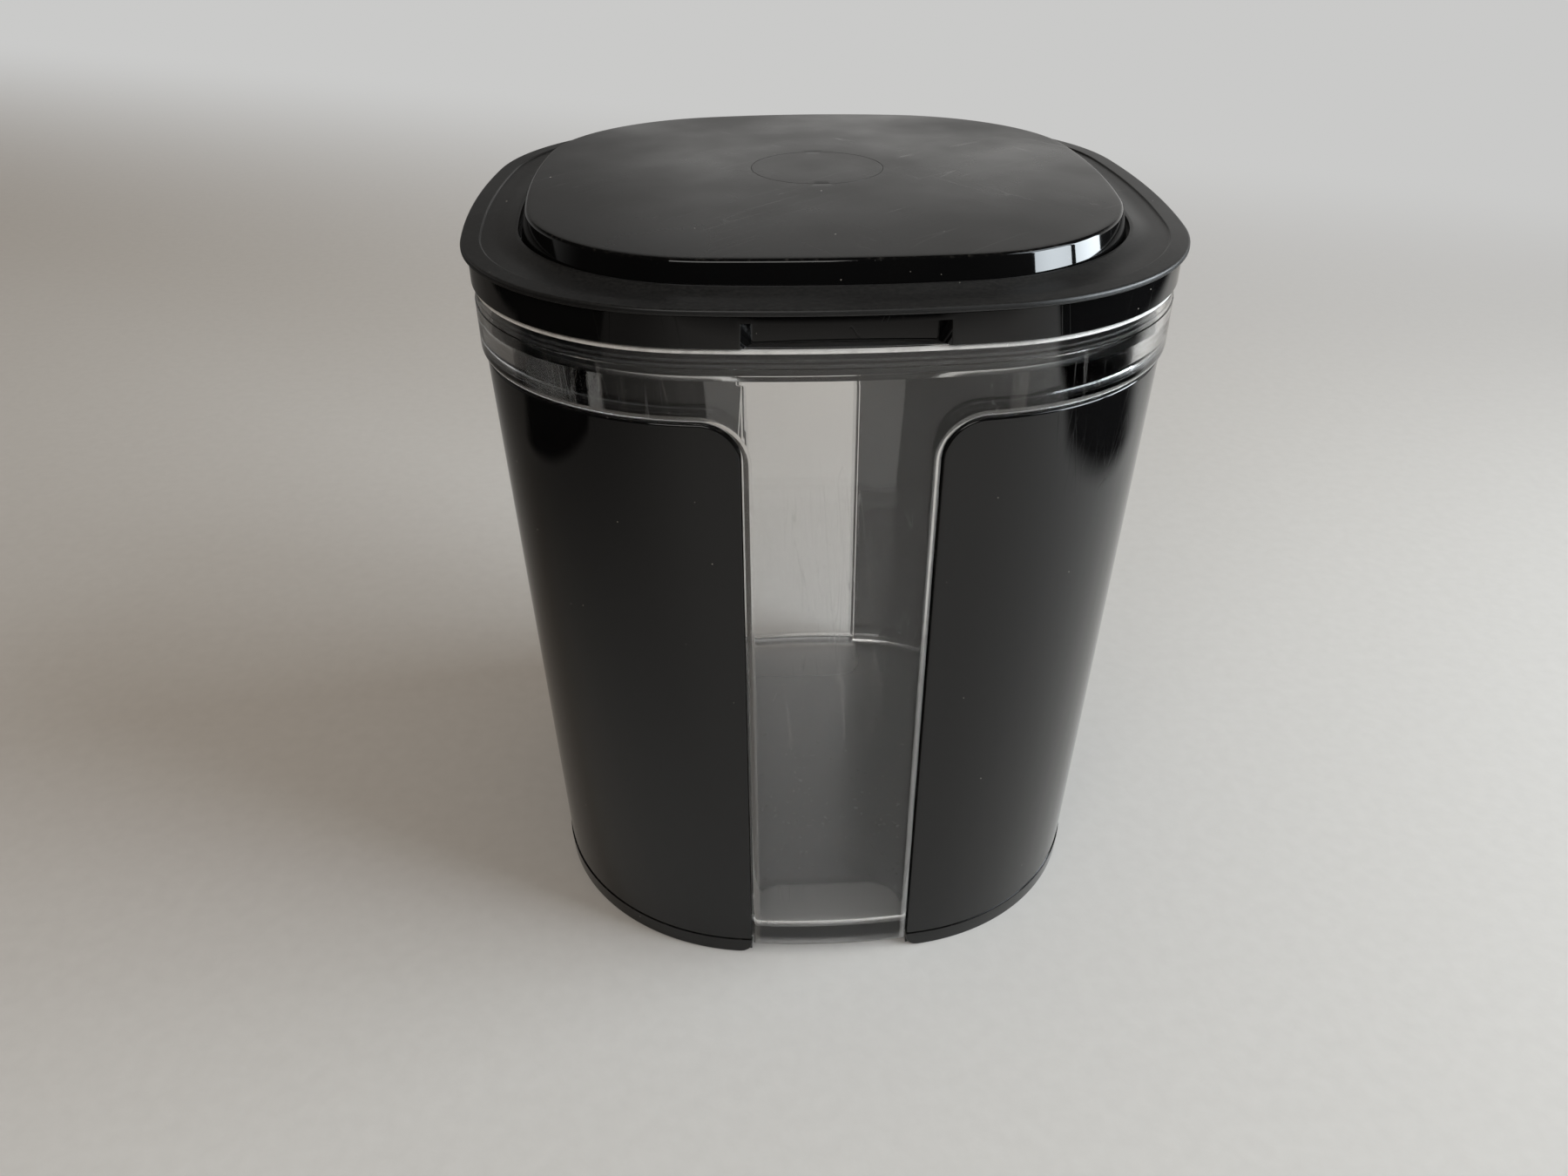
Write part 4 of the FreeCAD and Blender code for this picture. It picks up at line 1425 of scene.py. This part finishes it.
@dataclass(frozen=True)
class Surroundings:
    """What lies round the studio: pale to the camera, and in reflections a dim room that is pale behind.

    A reach is a pair of values of a direction's part: where a change starts and where it is full.
    """

    pale: Triple = (0.59, 0.59, 0.583)
    backdrop: Triple = (0.85, 0.84, 0.82)
    room: Triple = (0.012, 0.012, 0.012)
    ambient: Triple = (0.31, 0.262, 0.214)
    behind_reach: Pair = (-0.1, 0.6)
    right_reach: Pair = (-0.16, 0.0)
    high_reach: Pair = (0.1, 0.5)
    left_share: float = 0.3

    def make(self) -> bpy.types.World:
        """Returns the world."""
        mix = Recipe(world=bpy.data.worlds.new("studio_world"))
        path = mix.node("ShaderNodeLightPath").outputs
        camera, mirrored, through = (
            Level(mix, path[name]) for name in ("Is Camera Ray", "Is Glossy Ray", "Is Transmission Ray"))
        across, along, up = mix.parts(mix.node("ShaderNodeTexCoord").outputs["Generated"])
        behind, high = along.fade(*self.behind_reach), up.fade(*self.high_reach)
        bright = self.left_share + across.fade(*self.right_reach) * (1.0 - self.left_share)
        seen = mix.blend(behind * (1.0 - high) * bright, self.room, self.backdrop)
        mirror, pale, light = (
            mix.glow("ShaderNodeBackground", colour) for colour in (seen, self.pale, self.ambient))
        shader = mix.mixed(camera.most(through), mix.mixed(mirrored, light, mirror), pale)
        return mix.finish(shader, "ShaderNodeOutputWorld")


@dataclass(frozen=True)
class Studio:
    """The camera, the pale floor, the lamps and the surroundings."""

    camera_place: Triple = (-21.1 * MM, -282.7 * MM, 240.0 * MM)
    turn: float = -0.0475
    dip: float = math.radians(31.92)
    roll: float = -0.0038
    lens: float = 28.708
    sensor: float = 36.0
    near_clip: float = 0.01
    floor_half: float = 4.0
    floor_cells: int = 8
    target: Triple = (0.0, 0.0, 0.1)
    lamps: Sequence[Softbox] = (
        Softbox("window_near_pane", (0.935, -0.385, 0.28), 0.43, 0.40, 2.1, DAYLIGHT, QUARTER),
        Softbox("window_far_pane", (1.02, 0.055, 0.28), 0.39, 0.40, 1.95, DAYLIGHT, QUARTER),
        Softbox("soft_key", (1.7, -0.55, 1.3), 1.2, 0.9, 14.0, DAYLIGHT),
        Softbox("front_fill", (-0.3, -1.1, 1.0), 0.9, 0.5, 5.0, (1.0, 0.98, 0.95)),
    )

    def camera(self) -> None:
        """Adds the camera where the photograph was taken from."""
        data = bpy.data.cameras.new("photo_camera")
        data.lens, data.sensor_width, data.sensor_fit = self.lens, self.sensor, "HORIZONTAL"
        data.clip_start = self.near_clip
        camera = bpy.data.objects.new("photo_camera", data)
        bpy.context.scene.collection.objects.link(camera)
        turned = Matrix.Rotation(self.turn, 3, "Z") @ Matrix.Rotation(QUARTER - self.dip, 3, "X")
        camera.rotation_euler = (turned @ Matrix.Rotation(self.roll, 3, "Z")).to_euler()
        camera.location = self.camera_place
        bpy.context.scene.camera = camera

    def floor(self) -> None:
        """Adds the floor."""
        half, cell = self.floor_half, 2 * self.floor_half / self.floor_cells
        work = Workpiece("studio_floor").grid(self.floor_cells, self.floor_cells)
        work.place(lambda point: Vector((point.x * cell - half, point.y * cell - half, 0.0)))
        floor = work.finish()
        floor.data.materials.append(PaleFloor().make())

    def light(self) -> None:
        """Hangs the lamps and sets the surroundings."""
        for lamp in self.lamps:
            lamp.hang(Vector(self.target))
        bpy.context.scene.world = Surroundings().make()


def main() -> None:
    """Builds the box in its studio and logs each part as it is dressed."""
    logging.basicConfig(level=logging.INFO, format="%(name)s: %(message)s")
    studio = Studio()
    studio.camera()
    for part in (Jacket(), ClearBin(), Lid()):
        part.dress()
        log.info("%s is dressed", type(part).__name__)
    studio.floor()
    studio.light()
    bpy.context.scene.view_settings.view_transform = "Standard"


if __name__ == "__main__":
    main()
